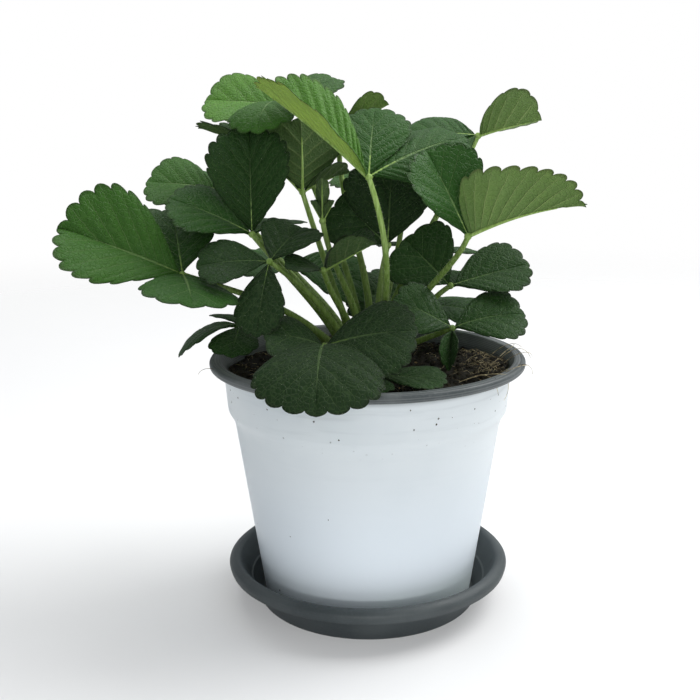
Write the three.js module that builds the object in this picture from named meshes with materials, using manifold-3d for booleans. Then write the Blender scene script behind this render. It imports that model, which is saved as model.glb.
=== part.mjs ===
// A strawberry plant in a white nursery pot with a dark rim, standing in a dark plastic saucer.
//
// Millimetres, +Z up. The origin is the middle of the saucer's flat underside, on the pot's own axis.
// The pot and the saucer are turned shapes. The soil fills the pot and has a plain hole for the crown, the
// short thick stem of the plant. Each leaf is two pieces: a petiole, which stands on the crown, and a blade
// of three toothed leaflets that meet in a small knot at the petiole's tip.
import * as THREE from "three";
import { mergeVertices } from "three/addons/utils/BufferGeometryUtils.js";
import Module from "manifold-3d";

const wasm = await Module();
wasm.setup();

// ---- Driving dimensions ----

const GAP = 0.3; // between pieces that touch on the real object
const ROUND = 44; // sides of a turned shape

const SAUCER = {
  height: 24.5,
  baseRadius: 61,
  neckRadius: 68.5,
  lipRadius: 78,
  lipInner: 71.5,
  lipDrop: 7,
  floor: 2,
  wall: 1.8,
};
const POT = {
  height: 135,
  rimRadius: 85,
  rimInner: 79,
  lipDrop: 4.5,
  collarTop: 77.5,
  collarFoot: 75.6,
  collarDepth: 23,
  shoulder: 3.2,
  shoulderDrop: 5,
  footRadius: 57.5,
  wall: 1.6,
};
const DRAIN = { count: 6, radius: 2.5, ring: 38 };
const SOIL = { level: 128.5, lump: 1.6, mound: 4 };
const CROWN = { radius: 16, sink: 9, rise: 13 };
const PETIOLE = { footRadius: 2.3, tipRadius: 1.35, sides: 5, steps: 6 };
const BLADE = {
  thickness: 0.8,
  knot: 2.4, // radius of the small knot where three leaflets meet
  petiolule: 1.1, // from the middle of the knot to a leaflet's base
  toothless: 0.13, // share of the edge next to the base that has no teeth
  toothPitch: 8.8, // length of leaflet for each pair of teeth
  toothDepth: 0.042, // share of the leaflet's length
};

const POT_FLOOR = SAUCER.floor + GAP;
const RIM_TOP = POT_FLOOR + POT.height;

// ---- The leaves ----
// foot: place on the crown, as the angle round it and the angle down from its top, in degrees.
// tip: where the petiole ends and the leaflets meet.
// lean: the petiole's heading and rise as it arrives there.
// leaflets: heading, rise, roll, length, width, fold, arch and curl of each, then lobe for a few.
// Headings turn from +X towards +Y, and rise is above level. Roll lifts the right-hand side, seen from
// the leaflet's base. Fold lifts both halves from the midrib, arch bends the tip down, and curl turns the
// two edges up or, below zero, down. Lobe widens the right half near the base or, below zero, the left.
const LEAVES = {
  front_tall: {
    foot: [-60, 38], tip: [1, -34, 234], lean: [130, 62],
    leaflets: [
      [159, 41, 5, 73, 48, 38, 10, 0, -1.5],
      [16, 30, -40, 58, 50, -6, 30, -14],
      [84, 56, 0, 46, 38, 4, 22, -10],
    ],
  },
  far_left: {
    foot: [188, 66], tip: [-94, -25, 185], lean: [190, 20],
    leaflets: [
      [189, 25, 51, 64, 60, 26, 8, -6],
      [-72, -4, 9, 40, 48, 6, 20, -8],
      [107, 47, 1, 45, 44, 14, 14, 0],
    ],
  },
  upper_left: {
    foot: [170, 52], tip: [-60, -6, 203], lean: [170, 50],
    leaflets: [
      [100, 85, 12, 54, 46, 24, 8, 0],
      [184, 30, 26, 46, 46, 10, 14, -8],
      [50, 22, 0, 32, 32, 12, 30, -10],
    ],
  },
  left_back: {
    foot: [150, 60], tip: [-81, 26, 224], lean: [178, 52],
    leaflets: [
      [178, 9, 32, 40, 44, 12, 8, -6],
      [262, -30, 0, 20, 22, 10, 20, -8],
      [100, 20, -10, 46, 44, 12, 30, -10],
    ],
  },
  left_high: {
    foot: [140, 40], tip: [-34, 5, 224], lean: [150, 70],
    leaflets: [
      [156, 45, -4, 70, 32, 24, 34, 0],
      [-80, 78, 0, 38, 44, 10, -34, 0],
      [20, 30, 20, 27, 32, 14, 20, 0],
    ],
  },
  top_left: {
    foot: [110, 34], tip: [-44, 22, 268], lean: [210, 72],
    leaflets: [
      [174, 8, 34, 43, 46, 14, 8, -6],
      [-112, 22, -6, 42, 40, 6, 84, -10],
      [25, 34, -16, 35, 34, 10, 20, -6],
    ],
  },
  top_middle: {
    foot: [80, 30], tip: [-15, 34, 255], lean: [80, 74],
    leaflets: [
      [8, 30, 16, 30, 28, 36, 6, 0],
      [-40, 6, -10, 30, 28, 14, 20, 0],
      [90, 10, 0, 26, 26, 20, 20, 0],
    ],
  },
  top_right: {
    foot: [40, 36], tip: [60, 25, 252], lean: [0, 66],
    leaflets: [
      [0, 18, 30, 34, 46, 30, 10, -6, 1],
      [160, 8, 26, 48, 44, 10, 24, -10],
      [-150, -14, 0, 30, 30, 10, 40, -8],
    ],
  },
  right_big: {
    foot: [-6, 44], tip: [49, -44, 206], lean: [-84, 34],
    leaflets: [
      [-4, 27, 48, 57, 34, 42, 30, 0, 5],
      [160, 64, 40, 46, 44, 20, 6, 0],
      [60, 30, 0, 34, 32, 16, 10, 0],
    ],
  },
  right_middle: {
    foot: [8, 68], tip: [44.5, 0, 174.5], lean: [-5, 34],
    leaflets: [
      [6, 16, -29, 43, 42, 16, 4, -8],
      [162, 44, 66, 35, 42, 14, 10, -6],
      [58, 14, 0, 40, 38, 12, 30, -10],
    ],
  },
  right_low: {
    foot: [-34, 72], tip: [44, -22, 156], lean: [-20, 26],
    leaflets: [
      [-2, 22, -30, 38, 40, 14, 28, -10],
      [194, 34, 50, 34, 32, 8, 20, -8],
      [-100, -44, 0, 24, 22, 66, 10, 0],
    ],
  },
  front_low: {
    foot: [-110, 70], tip: [-21, -50, 153], lean: [-105, 10],
    leaflets: [
      [-93, 20, 0, 56, 62, 6, 92, -14],
      [-12, 20, -34, 46, 52, 6, 22, -12],
      [192, 24, 24, 30, 40, 8, 24, -12],
    ],
  },
  centre_left: {
    foot: [214, 48], tip: [-49, -30, 192], lean: [205, 36],
    leaflets: [
      [-102, -44, -1, 41, 25, 10, 20, -6],
      [192, 6, 30, 36, 35, 12, 20, -8],
      [56, 35, -16, 33, 34, 14, 20, 0],
    ],
  },
  centre: {
    foot: [-150, 26], tip: [-22, -26, 187], lean: [-110, 60],
    leaflets: [
      [-17, 29, -2, 31, 34, 34, 0, 0],
      [43, 46, 35, 21, 20, 24, 16, 0],
      [205, 14, 15, 20, 24, 14, 16, 0],
    ],
  },
  centre_right: {
    foot: [-40, 18], tip: [11, -6, 197], lean: [-20, 74],
    leaflets: [
      [65, 85, -6, 43, 50, 10, 10, 0],
      [165, 43, 75, 36, 40, 10, 10, 0],
      [119, 8, 3, 28, 28, 8, 12, 0],
    ],
  },
  low_left: {
    foot: [168, 72], tip: [-67, -10, 155], lean: [182, 24],
    leaflets: [
      [184, 8, 0, 38, 36, 6, 66, -8],
      [-96, -16, 0, 26, 26, 12, 20, -8],
      [96, 10, 0, 36, 34, 12, 30, -8],
    ],
  },
  right_back: {
    foot: [40, 62], tip: [40, 44, 186], lean: [45, 40],
    leaflets: [
      [25, 2, -1, 31, 30, 8, 12, -4],
      [132, 17, 1, 38, 38, 12, 30, -10],
      [267, 16, -3, 19, 20, 12, 20, -8],
    ],
  },
  soil_front: {
    foot: [-72, 70], tip: [4, -52, 138], lean: [-75, 4],
    leaflets: [
      [-12, 5, -7, 35, 30, 10, 14, -6],
      [-100, -2, 1, 24, 24, 10, 10, -4],
      [176, 7, 1, 29, 24, 10, 10, -4],
    ],
  },
  back_left: {
    foot: [125, 66], tip: [-46, 56, 178], lean: [128, 30],
    leaflets: [
      [128, 20, 0, 52, 50, 12, 40, -10],
      [222, 14, 12, 44, 42, 10, 26, -10],
      [5, -8, -30, 50, 48, 10, 20, -8],
    ],
  },
  back_high: {
    foot: [65, 48], tip: [22, 58, 222], lean: [84, 62],
    leaflets: [
      [76, 24, 0, 54, 50, 12, 46, -10],
      [168, 20, 12, 44, 42, 10, 30, -10],
      [-14, 20, -12, 42, 40, 10, 30, -10],
    ],
  },
  back_low: {
    foot: [72, 70], tip: [34, 58, 152], lean: [60, 20],
    leaflets: [
      [64, 14, 0, 48, 46, 10, 44, -10],
      [172, 16, 35, 46, 46, 10, 20, -8],
      [-28, 10, -10, 38, 38, 10, 26, -10],
    ],
  },
  young: {
    foot: [150, 14], tip: [-23, -8, 210], lean: [160, 80],
    leaflets: [
      [-90, 84, 0, 22, 13, 60, 0, 0],
      [178, 60, 0, 12, 9, 50, 0, 0],
      [4, 60, 0, 12, 9, 50, 0, 0],
    ],
  },
};

const PAINT = {
  saucer: { color: 0x45494d, roughness: 0.55, metalness: 0 },
  pot: { color: 0xe4eaec, roughness: 0.45, metalness: 0 },
  soil: { color: 0x3a2c22, roughness: 0.95, metalness: 0 },
  crown: { color: 0x6b5a35, roughness: 0.8, metalness: 0 },
  petiole: { color: 0x8aa653, roughness: 0.6, metalness: 0 },
  blade: { color: 0x35602f, roughness: 0.55, metalness: 0 },
};

const strawberry = new THREE.Group();

function addMesh(name, geometry, paint) {
  const mesh = new THREE.Mesh(geometry, new THREE.MeshStandardMaterial(paint));
  mesh.name = name;
  strawberry.add(mesh);
  return mesh;
}

// ---- Solids ----

// A closed geometry of shared vertices as a manifold-3d solid.
function solid(geometry) {
  const plain = geometry.clone();
  plain.deleteAttribute("normal");
  plain.deleteAttribute("uv");
  const merged = mergeVertices(plain, 1e-4);
  return new wasm.Manifold(
    new wasm.Mesh({
      numProp: 3,
      vertProperties: new Float32Array(merged.attributes.position.array),
      triVerts: new Uint32Array(merged.index.array),
    }),
  );
}

function geometryOf(manifold) {
  const mesh = manifold.getMesh();
  const geometry = new THREE.BufferGeometry();
  geometry.setAttribute("position", new THREE.BufferAttribute(new Float32Array(mesh.vertProperties), 3));
  geometry.setIndex(new THREE.BufferAttribute(new Uint32Array(mesh.triVerts), 1));
  geometry.computeVertexNormals();
  return geometry;
}

function geometryFrom(vertices, triangles) {
  const geometry = new THREE.BufferGeometry();
  const numbers = vertices.flatMap((vertex) => vertex.toArray());
  geometry.setAttribute("position", new THREE.Float32BufferAttribute(numbers, 3));
  geometry.setIndex(triangles.flat());
  geometry.computeVertexNormals();
  return geometry;
}

// A turned shape about +Z. The outline holds [radius, height] pairs, anticlockwise from axis to axis.
function turned(outline) {
  const points = outline.map(([radius, height]) => new THREE.Vector2(radius, height));
  return new THREE.LatheGeometry(points, ROUND).rotateX(Math.PI / 2);
}

// ---- Saucer and pot ----

function saucer() {
  const { height, baseRadius, neckRadius, lipRadius, lipInner, lipDrop, floor, wall } = SAUCER;
  const under = height - lipDrop;
  return turned([
    [0, 0],
    [baseRadius - 1, 0],
    [baseRadius, 1],
    [neckRadius, under],
    [lipRadius - 1.2, under - 0.3],
    [lipRadius, height - 3.2],
    [lipRadius - 2.2, height - 0.9],
    [lipRadius - 4.6, height],
    [lipInner, height - 1],
    [lipInner - 2.2, height - 5],
    [neckRadius - wall, under - 3],
    [baseRadius - wall, floor],
    [0, floor],
  ]);
}

function pot() {
  const { height, rimRadius, rimInner, lipDrop, collarTop, collarFoot, footRadius, wall } = POT;
  const { collarDepth, shoulder, shoulderDrop } = POT;
  const collarEnd = height - lipDrop - collarDepth;
  const raised = 3; // how far the middle of the floor stands off the saucer
  const shell = solid(
    turned([
      [0, raised],
      [footRadius - 8, raised],
      [footRadius - 7, 0],
      [footRadius - 1.5, 0],
      [footRadius, 1.5],
      [collarFoot - shoulder, collarEnd - shoulderDrop],
      [collarFoot, collarEnd],
      [collarTop, height - lipDrop],
      [rimRadius - 0.8, height - lipDrop],
      [rimRadius, height - lipDrop + 1],
      [rimRadius, height - 1.4],
      [rimRadius - 1.4, height],
      [rimInner, height],
      [collarTop - wall, height - lipDrop - 1],
      [collarFoot - wall, collarEnd],
      [collarFoot - shoulder - wall, collarEnd - shoulderDrop],
      [footRadius - wall, raised + wall],
      [0, raised + wall],
    ]),
  );
  const holes = [];
  for (let i = 0; i < DRAIN.count; i++) {
    const angle = (2 * Math.PI * i) / DRAIN.count;
    const hole = new THREE.CylinderGeometry(DRAIN.radius, DRAIN.radius, 12, 6).rotateX(Math.PI / 2);
    holes.push(solid(hole.translate(DRAIN.ring * Math.cos(angle), DRAIN.ring * Math.sin(angle), raised)));
  }
  return geometryOf(shell.subtract(wasm.Manifold.union(holes))).translate(0, 0, POT_FLOOR);
}

// ---- Soil and crown ----

// A smooth lumpy height for the soil's top, from a few crossed waves.
function lumps(x, y) {
  return (Math.sin(x / 6.1 + 1.3) * Math.cos(y / 7.3) + 0.6 * Math.sin(x / 3.1 - y / 4.3 + 0.7)) / 1.6;
}

function soilLevel(x, y) {
  const far = Math.hypot(x, y) / POT.collarTop;
  return SOIL.level + SOIL.mound * (1 - far * far) + SOIL.lump * lumps(x, y);
}

function mix(from, to, share) {
  return from + (to - from) * share;
}

// The pot's inner radius at a height above its floor.
function insideRadius(z) {
  const top = POT.height - POT.lipDrop - POT.collarDepth;
  const low = [POT.footRadius - POT.wall, 3 + POT.wall];
  const shoulderFoot = [POT.collarFoot - POT.shoulder - POT.wall, top - POT.shoulderDrop];
  const collarFoot = [POT.collarFoot - POT.wall, top];
  const collarTop = [POT.collarTop - POT.wall, POT.height - POT.lipDrop - 1];
  for (const [a, b] of [[low, shoulderFoot], [shoulderFoot, collarFoot], [collarFoot, collarTop]]) {
    if (z <= b[1]) return mix(a[0], b[0], (z - a[1]) / (b[1] - a[1]));
  }
  return collarTop[0];
}

// Rings of points joined into one closed body, with a point at each end.
function ringed(rings, first, last) {
  const sides = rings[0].length;
  const vertices = [first, ...rings.flat(), last];
  const end = vertices.length - 1;
  const triangles = [];
  for (let i = 0; i < sides; i++) {
    const next = (i + 1) % sides;
    triangles.push([0, 1 + next, 1 + i]);
    for (let ring = 0; ring + 1 < rings.length; ring++) {
      const a = 1 + ring * sides;
      const b = a + sides;
      triangles.push([a + i, b + next, b + i], [a + i, a + next, b + next]);
    }
    const tail = 1 + (rings.length - 1) * sides;
    triangles.push([tail + i, tail + next, end]);
  }
  return geometryFrom(vertices, triangles);
}

function ring(radius, sides, height) {
  return Array.from({ length: sides }, (_, i) => {
    const angle = (2 * Math.PI * i) / sides;
    const x = radius * Math.cos(angle);
    const y = radius * Math.sin(angle);
    return new THREE.Vector3(x, y, typeof height === "function" ? height(x, y) : height);
  });
}

function soil() {
  const sides = 32;
  const holeRadius = CROWN.radius + GAP;
  const holeFloor = SOIL.level - CROWN.sink - GAP;
  const inside = (z) => insideRadius(z - POT_FLOOR) - GAP;
  const shoulder = POT_FLOOR + POT.height - POT.lipDrop - POT.collarDepth;
  const bottom = POT_FLOOR + 3 + POT.wall + GAP;
  const edge = inside(SOIL.level);
  const rings = [
    ring(holeRadius, sides, holeFloor),
    ring(holeRadius, sides, soilLevel),
    ...[0.3, 0.5, 0.68, 0.85, 1].map((share) => ring(mix(holeRadius, edge, share), sides, soilLevel)),
    ring(inside(shoulder), sides, shoulder),
    ring(inside(shoulder - POT.shoulderDrop), sides, shoulder - POT.shoulderDrop),
    ring(inside(bottom), sides, bottom),
  ];
  return ringed(rings.reverse(), new THREE.Vector3(0, 0, bottom), new THREE.Vector3(0, 0, holeFloor));
}

// A point on the crown's domed top, at an angle round it and an angle down from its top.
function crownPoint(angle, down, lift) {
  const around = THREE.MathUtils.degToRad(angle);
  const polar = THREE.MathUtils.degToRad(down);
  const radius = (CROWN.radius + lift) * Math.sin(polar);
  const height = (CROWN.rise + lift) * Math.cos(polar);
  const top = SOIL.level + SOIL.mound;
  return new THREE.Vector3(radius * Math.cos(around), radius * Math.sin(around), top + height);
}

function crown() {
  const sides = 16;
  const base = SOIL.level + SOIL.mound;
  const rings = [ring(CROWN.radius, sides, SOIL.level - CROWN.sink)];
  for (const down of [90, 66, 42, 20]) {
    rings.push(Array.from({ length: sides }, (_, i) => crownPoint((360 * i) / sides, down, 0)));
  }
  const foot = new THREE.Vector3(0, 0, SOIL.level - CROWN.sink);
  return ringed(rings, foot, new THREE.Vector3(0, 0, base + CROWN.rise));
}

// ---- Leaves ----

function direction(heading, rise) {
  const turn = THREE.MathUtils.degToRad(heading);
  const lift = THREE.MathUtils.degToRad(rise);
  return new THREE.Vector3(Math.cos(turn) * Math.cos(lift), Math.sin(turn) * Math.cos(lift), Math.sin(lift));
}

// The petiole's centre line: out of the crown, up, and over to the knot of the leaf, which is an octahedron.
function petioleCurve(leaf) {
  const foot = crownPoint(leaf.foot[0], leaf.foot[1], GAP + 0.2);
  const out = direction(leaf.foot[0], 90 - leaf.foot[1] * 0.62);
  const arrive = direction(...leaf.lean);
  const knotReach = BLADE.knot * Math.max(...arrive.toArray().map(Math.abs));
  const tip = new THREE.Vector3(...leaf.tip).addScaledVector(arrive, -(knotReach + GAP));
  const reach = foot.distanceTo(tip) * 0.38;
  const first = foot.clone().addScaledVector(out, reach);
  const second = tip.clone().addScaledVector(arrive, -reach);
  return new THREE.CubicBezierCurve3(foot, first, second, tip);
}

function petiole(leaf) {
  const { footRadius, tipRadius, sides, steps } = PETIOLE;
  const curve = petioleCurve(leaf);
  const frames = curve.computeFrenetFrames(steps, false);
  const rings = [];
  for (let i = 0; i <= steps; i++) {
    const share = i / steps;
    const centre = curve.getPointAt(share);
    const radius = footRadius + (tipRadius - footRadius) * Math.pow(share, 0.6);
    rings.push(
      Array.from({ length: sides }, (_, k) => {
        const angle = (2 * Math.PI * k) / sides;
        return centre
          .clone()
          .addScaledVector(frames.normals[i], radius * Math.cos(angle))
          .addScaledVector(frames.binormals[i], radius * Math.sin(angle));
      }),
    );
  }
  return ringed(rings, curve.getPointAt(0), curve.getPointAt(1));
}

// A leaflet's axes at its base: along the midrib, to its right and out of its upper face.
function leafletAxes(heading, rise, roll) {
  const along = direction(heading, rise);
  const level = direction(heading - 90, 0);
  const up = level.clone().cross(along);
  const turn = THREE.MathUtils.degToRad(roll);
  const right = level.clone().multiplyScalar(Math.cos(turn)).addScaledVector(up, Math.sin(turn));
  return { along, right, up: right.clone().cross(along) };
}

function teethOnSide(length) {
  return Math.max(3, Math.round(length / BLADE.toothPitch));
}

// The flat outline's half width and its distance from the base, where a side vein meets the edge.
// `place` runs along the edge from 0 at the base to 1 at the tip.
function outline(place, length, width, lobe) {
  const wedge = 1.15 - 1.04 * Math.pow(1 - place, 2.5) + lobe * Math.pow(1 - place, 4);
  const half = (width / 2) * Math.sin(Math.PI * place) * wedge;
  return [half, length * Math.pow((1 - Math.cos(Math.PI * place)) / 2, 0.8)];
}

// How far a point of the edge stands out, for teeth that are numbered from 0 at the first notch.
function tooth(number, size) {
  if (number < 0) return 0;
  const inTooth = number - Math.floor(number);
  return size * BLADE.toothDepth * (Math.pow(Math.sin(Math.PI * inTooth), 0.6) - 0.4);
}

// A point of a leaflet's middle surface. `place` picks the side vein, and `across` runs along that vein
// from 0 on the midrib to 1 on the edge.
function leafletPoint(shape, side, place, across) {
  const { base, axes, length, width, fold, arch, curl, lobe, teeth } = shape;
  const [half, reach] = outline(place, length, width, Math.max(0, side * lobe));
  const toothNumber = ((place - BLADE.toothless) / (1 - BLADE.toothless)) * (teeth + 0.5);
  const stand = tooth(toothNumber, length) * Math.pow(across, 4);
  const start = 0.86 * length * Math.pow(place, 2.1);
  const outwards = Math.atan2(half, Math.max(reach - start, 1e-6));
  const away = half * across + stand * Math.sin(outwards);
  const ahead = start + (reach - start) * across + stand * Math.cos(outwards);
  const bend = THREE.MathUtils.degToRad(arch) / length;
  const turned = bend * ahead;
  const forward = Math.abs(bend) < 1e-6 ? ahead : Math.sin(turned) / bend;
  const sunk = Math.abs(bend) < 1e-6 ? 0 : (1 - Math.cos(turned)) / bend;
  const up = axes.up.clone().multiplyScalar(Math.cos(turned)).addScaledVector(axes.along, Math.sin(turned));
  const slope = THREE.MathUtils.degToRad(fold + (curl * away) / (width / 2));
  return base
    .clone()
    .addScaledVector(axes.along, forward)
    .addScaledVector(axes.up, -sunk)
    .addScaledVector(axes.right, side * away * Math.cos(slope))
    .addScaledVector(up, away * Math.sin(slope));
}

// One leaflet as a thin solid. Each half has three rows of points: on the midrib, halfway and on the edge.
function leaflet(base, row) {
  const [heading, rise, roll, whole, width, fold, arch, curl, lobe = 0] = row;
  const axes = leafletAxes(heading, rise, roll);
  const start = base.clone().addScaledVector(axes.along, BLADE.petiolule);
  const length = whole - BLADE.petiolule;
  const teeth = teethOnSide(length);
  const shape = { base: start, axes, length, width, fold, arch, curl, lobe, teeth };
  const pitch = (1 - BLADE.toothless) / (teeth + 0.5);
  const notches = Array.from({ length: teeth + 1 }, (_, i) => BLADE.toothless + i * pitch);
  const peaks = notches.map((notch) => Math.min(1, notch + pitch * 0.5));
  const edge = [0, BLADE.toothless * 0.55, ...notches.flatMap((notch, i) => [notch, peaks[i]])];
  const inner = [0, ...peaks.filter((_, i) => (teeth - i) % 2 === 0)];
  const spine = [0, ...peaks.filter((_, i) => (teeth - i) % 3 === 0)];
  const rows = [[spine, 0], [inner, 0.56], [edge, 1]];
  const points = [];
  const known = new Map();
  const at = (side, place, across) => {
    const shared = across === 0 || place === 0 || place === 1;
    const key = [shared ? 0 : side, place, place === 0 ? 0 : across].join();
    if (!known.has(key)) {
      known.set(key, points.length);
      points.push({ side: shared ? 1 : side, place, across, on: leafletPoint(shape, side, place, across) });
    }
    return known.get(key);
  };
  const faces = [];
  for (const side of [-1, 1]) {
    for (let r = 0; r < 2; r++) {
      const [near, far] = [rows[r], rows[r + 1]];
      let i = 0;
      let j = 0;
      while (i + 1 < near[0].length || j + 1 < far[0].length) {
        const nearDone = i + 1 >= near[0].length;
        const stepFar = nearDone || (j + 1 < far[0].length && far[0][j + 1] <= near[0][i + 1]);
        const a = at(side, near[0][i], near[1]);
        const b = at(side, far[0][j], far[1]);
        if (stepFar) j++;
        else i++;
        const c = stepFar ? at(side, far[0][j], far[1]) : at(side, near[0][i], near[1]);
        if (a !== b && b !== c && a !== c) faces.push(side > 0 ? [a, b, c] : [a, c, b]);
      }
    }
  }
  const normals = points.map(() => new THREE.Vector3());
  for (const [a, b, c] of faces) {
    const ab = points[b].on.clone().sub(points[a].on);
    const face = ab.cross(points[c].on.clone().sub(points[a].on));
    [a, b, c].forEach((v) => normals[v].add(face));
  }
  const half = BLADE.thickness / 2;
  const upper = points.map((p, i) => p.on.clone().addScaledVector(normals[i].normalize(), half));
  const lower = points.map((p, i) => p.on.clone().addScaledVector(normals[i], -half));
  const count = points.length;
  const triangles = [...faces, ...faces.map(([a, b, c]) => [a + count, c + count, b + count])];
  const seen = new Set(faces.flatMap(([a, b, c]) => [`${a},${b}`, `${b},${c}`, `${c},${a}`]));
  for (const pair of seen) {
    const [a, b] = pair.split(",").map(Number);
    if (!seen.has(`${b},${a}`)) triangles.push([b, a, a + count], [b, a + count, b + count]);
  }
  return solid(geometryFrom([...upper, ...lower], triangles));
}

// Three leaflets and the knot that joins them, as one body.
function blade(leaf) {
  const base = new THREE.Vector3(...leaf.tip);
  const knot = solid(new THREE.OctahedronGeometry(BLADE.knot).translate(...leaf.tip));
  const parts = [knot, ...leaf.leaflets.map((row) => leaflet(base, row))];
  const whole = wasm.Manifold.union(parts).asOriginal().simplify(0.03); // drops slivers
  const bodies = whole.decompose().sort((a, b) => b.volume() - a.volume());
  return geometryOf(bodies[0]);
}

addMesh("saucer", saucer(), PAINT.saucer);
addMesh("pot", pot(), PAINT.pot);
addMesh("soil", soil(), PAINT.soil);
addMesh("crown", crown(), PAINT.crown);
for (const [name, leaf] of Object.entries(LEAVES)) {
  addMesh(`leaf_${name}_petiole`, petiole(leaf), PAINT.petiole);
  addMesh(`leaf_${name}_blade`, blade(leaf), PAINT.blade);
}

export default strawberry;
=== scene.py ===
# %% [markdown]
# # A strawberry plant in its pot
#
# The plant has 22 leaves. Each stands on a long hairy stalk, the petiole, and has three toothed leaflets.
# It grows in peat in a white pot with a dark rim, and the pot stands in a dark saucer. This lesson dresses
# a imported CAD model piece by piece: each piece is rebuilt finer, in the same place, and gets a finish.

import math

import bpy
import numpy as np
from mathutils import Matrix, Vector


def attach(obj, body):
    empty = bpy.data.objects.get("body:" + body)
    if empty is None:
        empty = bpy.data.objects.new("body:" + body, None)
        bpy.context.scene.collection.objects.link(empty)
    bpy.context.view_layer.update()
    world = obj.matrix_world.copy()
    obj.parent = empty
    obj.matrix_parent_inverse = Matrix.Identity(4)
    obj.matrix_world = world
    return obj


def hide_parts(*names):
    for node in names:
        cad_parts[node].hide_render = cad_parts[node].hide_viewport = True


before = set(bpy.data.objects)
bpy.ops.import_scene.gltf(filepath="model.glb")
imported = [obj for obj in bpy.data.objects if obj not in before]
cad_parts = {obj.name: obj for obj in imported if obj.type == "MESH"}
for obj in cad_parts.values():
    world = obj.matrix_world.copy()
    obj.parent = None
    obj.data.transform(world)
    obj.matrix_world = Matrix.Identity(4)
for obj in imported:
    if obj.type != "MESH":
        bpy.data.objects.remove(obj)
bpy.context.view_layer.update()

# %% [markdown]
# ## Helpers for nodes
#
# Shaders and Geometry Nodes are both made of nodes and links. One helper adds a node and sets or links its
# inputs, and another returns the output that is wanted. Sums, ramps and coats of colour get helpers of their
# own, which work in the tree that their values come from. So each material below reads as a short list.


# %% Helpers that add nodes
def node(tree, kind, inputs=None, **settings):
    """A new node. An input takes a plain value, or is linked to another node's output."""
    made = tree.nodes.new(kind)
    for name, value in settings.items():
        setattr(made, name, value)
    for key, value in (inputs or {}).items():
        if isinstance(value, bpy.types.NodeSocket):
            tree.links.new(value, made.inputs[key])
        else:
            made.inputs[key].default_value = value
    return made


def wire(kind, inputs, output=0, **settings):
    """One output of a new node, in the tree that its linked inputs come from."""
    tree = next(value.id_data for value in inputs.values() if isinstance(value, bpy.types.NodeSocket))
    return node(tree, kind, inputs, **settings).outputs[output]


def calc(operation, *values):
    return wire("ShaderNodeMath", dict(enumerate(values)), operation=operation)


def times(first, second):
    return calc("MULTIPLY", first, second)


def plus(first, second):
    return calc("ADD", first, second)


def vector(operation, first, second=None, scale=None):
    """A sum on vectors. LENGTH gives a number, and the rest give a vector."""
    inputs = {key: value for key, value in ((0, first), (1, second), (3, scale)) if value is not None}
    output = "Value" if operation == "LENGTH" else "Vector"
    return wire("ShaderNodeVectorMath", inputs, output, operation=operation)


def parts_of(source):
    """The three numbers of a vector."""
    return node(source.id_data, "ShaderNodeSeparateXYZ", {0: source}).outputs


def ramp(value, low, high, to_low=0.0, to_high=1.0, smooth=True):
    """value, from low..high to to_low..to_high, held at the ends."""
    kind = "SMOOTHSTEP" if smooth else "LINEAR"
    inputs = {"Value": value, "From Min": low, "From Max": high, "To Min": to_low, "To Max": to_high}
    return wire("ShaderNodeMapRange", inputs, interpolation_type=kind)


def noise(where, scale, detail=3.0, rough=0.5):
    inputs = {"Vector": where, "Scale": scale, "Detail": detail, "Roughness": rough}
    return wire("ShaderNodeTexNoise", inputs, "Fac")


print("node helpers ready")


# %% Helpers for colours
def coated(colour, *coats, mode="MIX"):
    """Lays coats over a colour in turn. Each coat is how much of it shows, and its own colour."""
    for share, coat in coats:
        colour = wire("ShaderNodeMix", {0: share, 6: colour, 7: coat}, 2, data_type="RGBA", blend_type=mode)
    return colour


def tinted(colour, *tints):
    """Multiplies a colour by tints in turn. Each tint is how much of it counts, and three numbers."""
    return coated(colour, *((share, (*tint, 1.0)) for share, *tint in tints), mode="MULTIPLY")


def srgb(red, green, blue):
    """A colour from 0..255 display values, as the linear colour that a shader takes."""
    shares = [c / 255 for c in (red, green, blue)]
    return (*[c / 12.92 if c < 0.0404 else ((c + 0.055) / 1.055) ** 2.4 for c in shares], 1.0)


print("colour helpers ready, and mid grey is", round(srgb(128, 128, 128)[0], 3), "in a shader")

# %% [markdown]
# ## Effects that several finishes share
#
# A shader node group is built once and placed in many materials. *Mottling* is slow, cloudy change in colour.
# *Specks* are sparse dots, such as crumbs of soil on a clean pot. *Grain* is the fine unevenness that a bump
# needs. *Leaf veins* reads a leaflet's own map: its first number counts the side veins, half a vein between
# two whole numbers, and its second runs from the midrib to the edge.


# %% Shader groups
def shader_group(name, takes):
    """A new group with a named input for each value."""
    group = bpy.data.node_groups.new(name, "ShaderNodeTree")
    for label, value in takes.items():
        group.interface.new_socket(label, in_out="INPUT", socket_type="NodeSocketFloat").default_value = value
    return group, node(group, "NodeGroupInput").outputs


def giving(group, **results):
    """The group, ended with a named output for each result."""
    for label in results:
        group.interface.new_socket(label, in_out="OUTPUT", socket_type="NodeSocketFloat")
    node(group, "NodeGroupOutput", results)
    return group


def place_of(tree):
    return node(tree, "ShaderNodeTexCoord").outputs["Object"]


def make_mottling():
    group, take = shader_group("Mottling", {"Scale": 30.0, "Low": 0.35, "High": 0.65})
    clouds = noise(place_of(group), take["Scale"], 4.0, 0.55)
    return giving(group, Mask=ramp(clouds, take["Low"], take["High"]))


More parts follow.
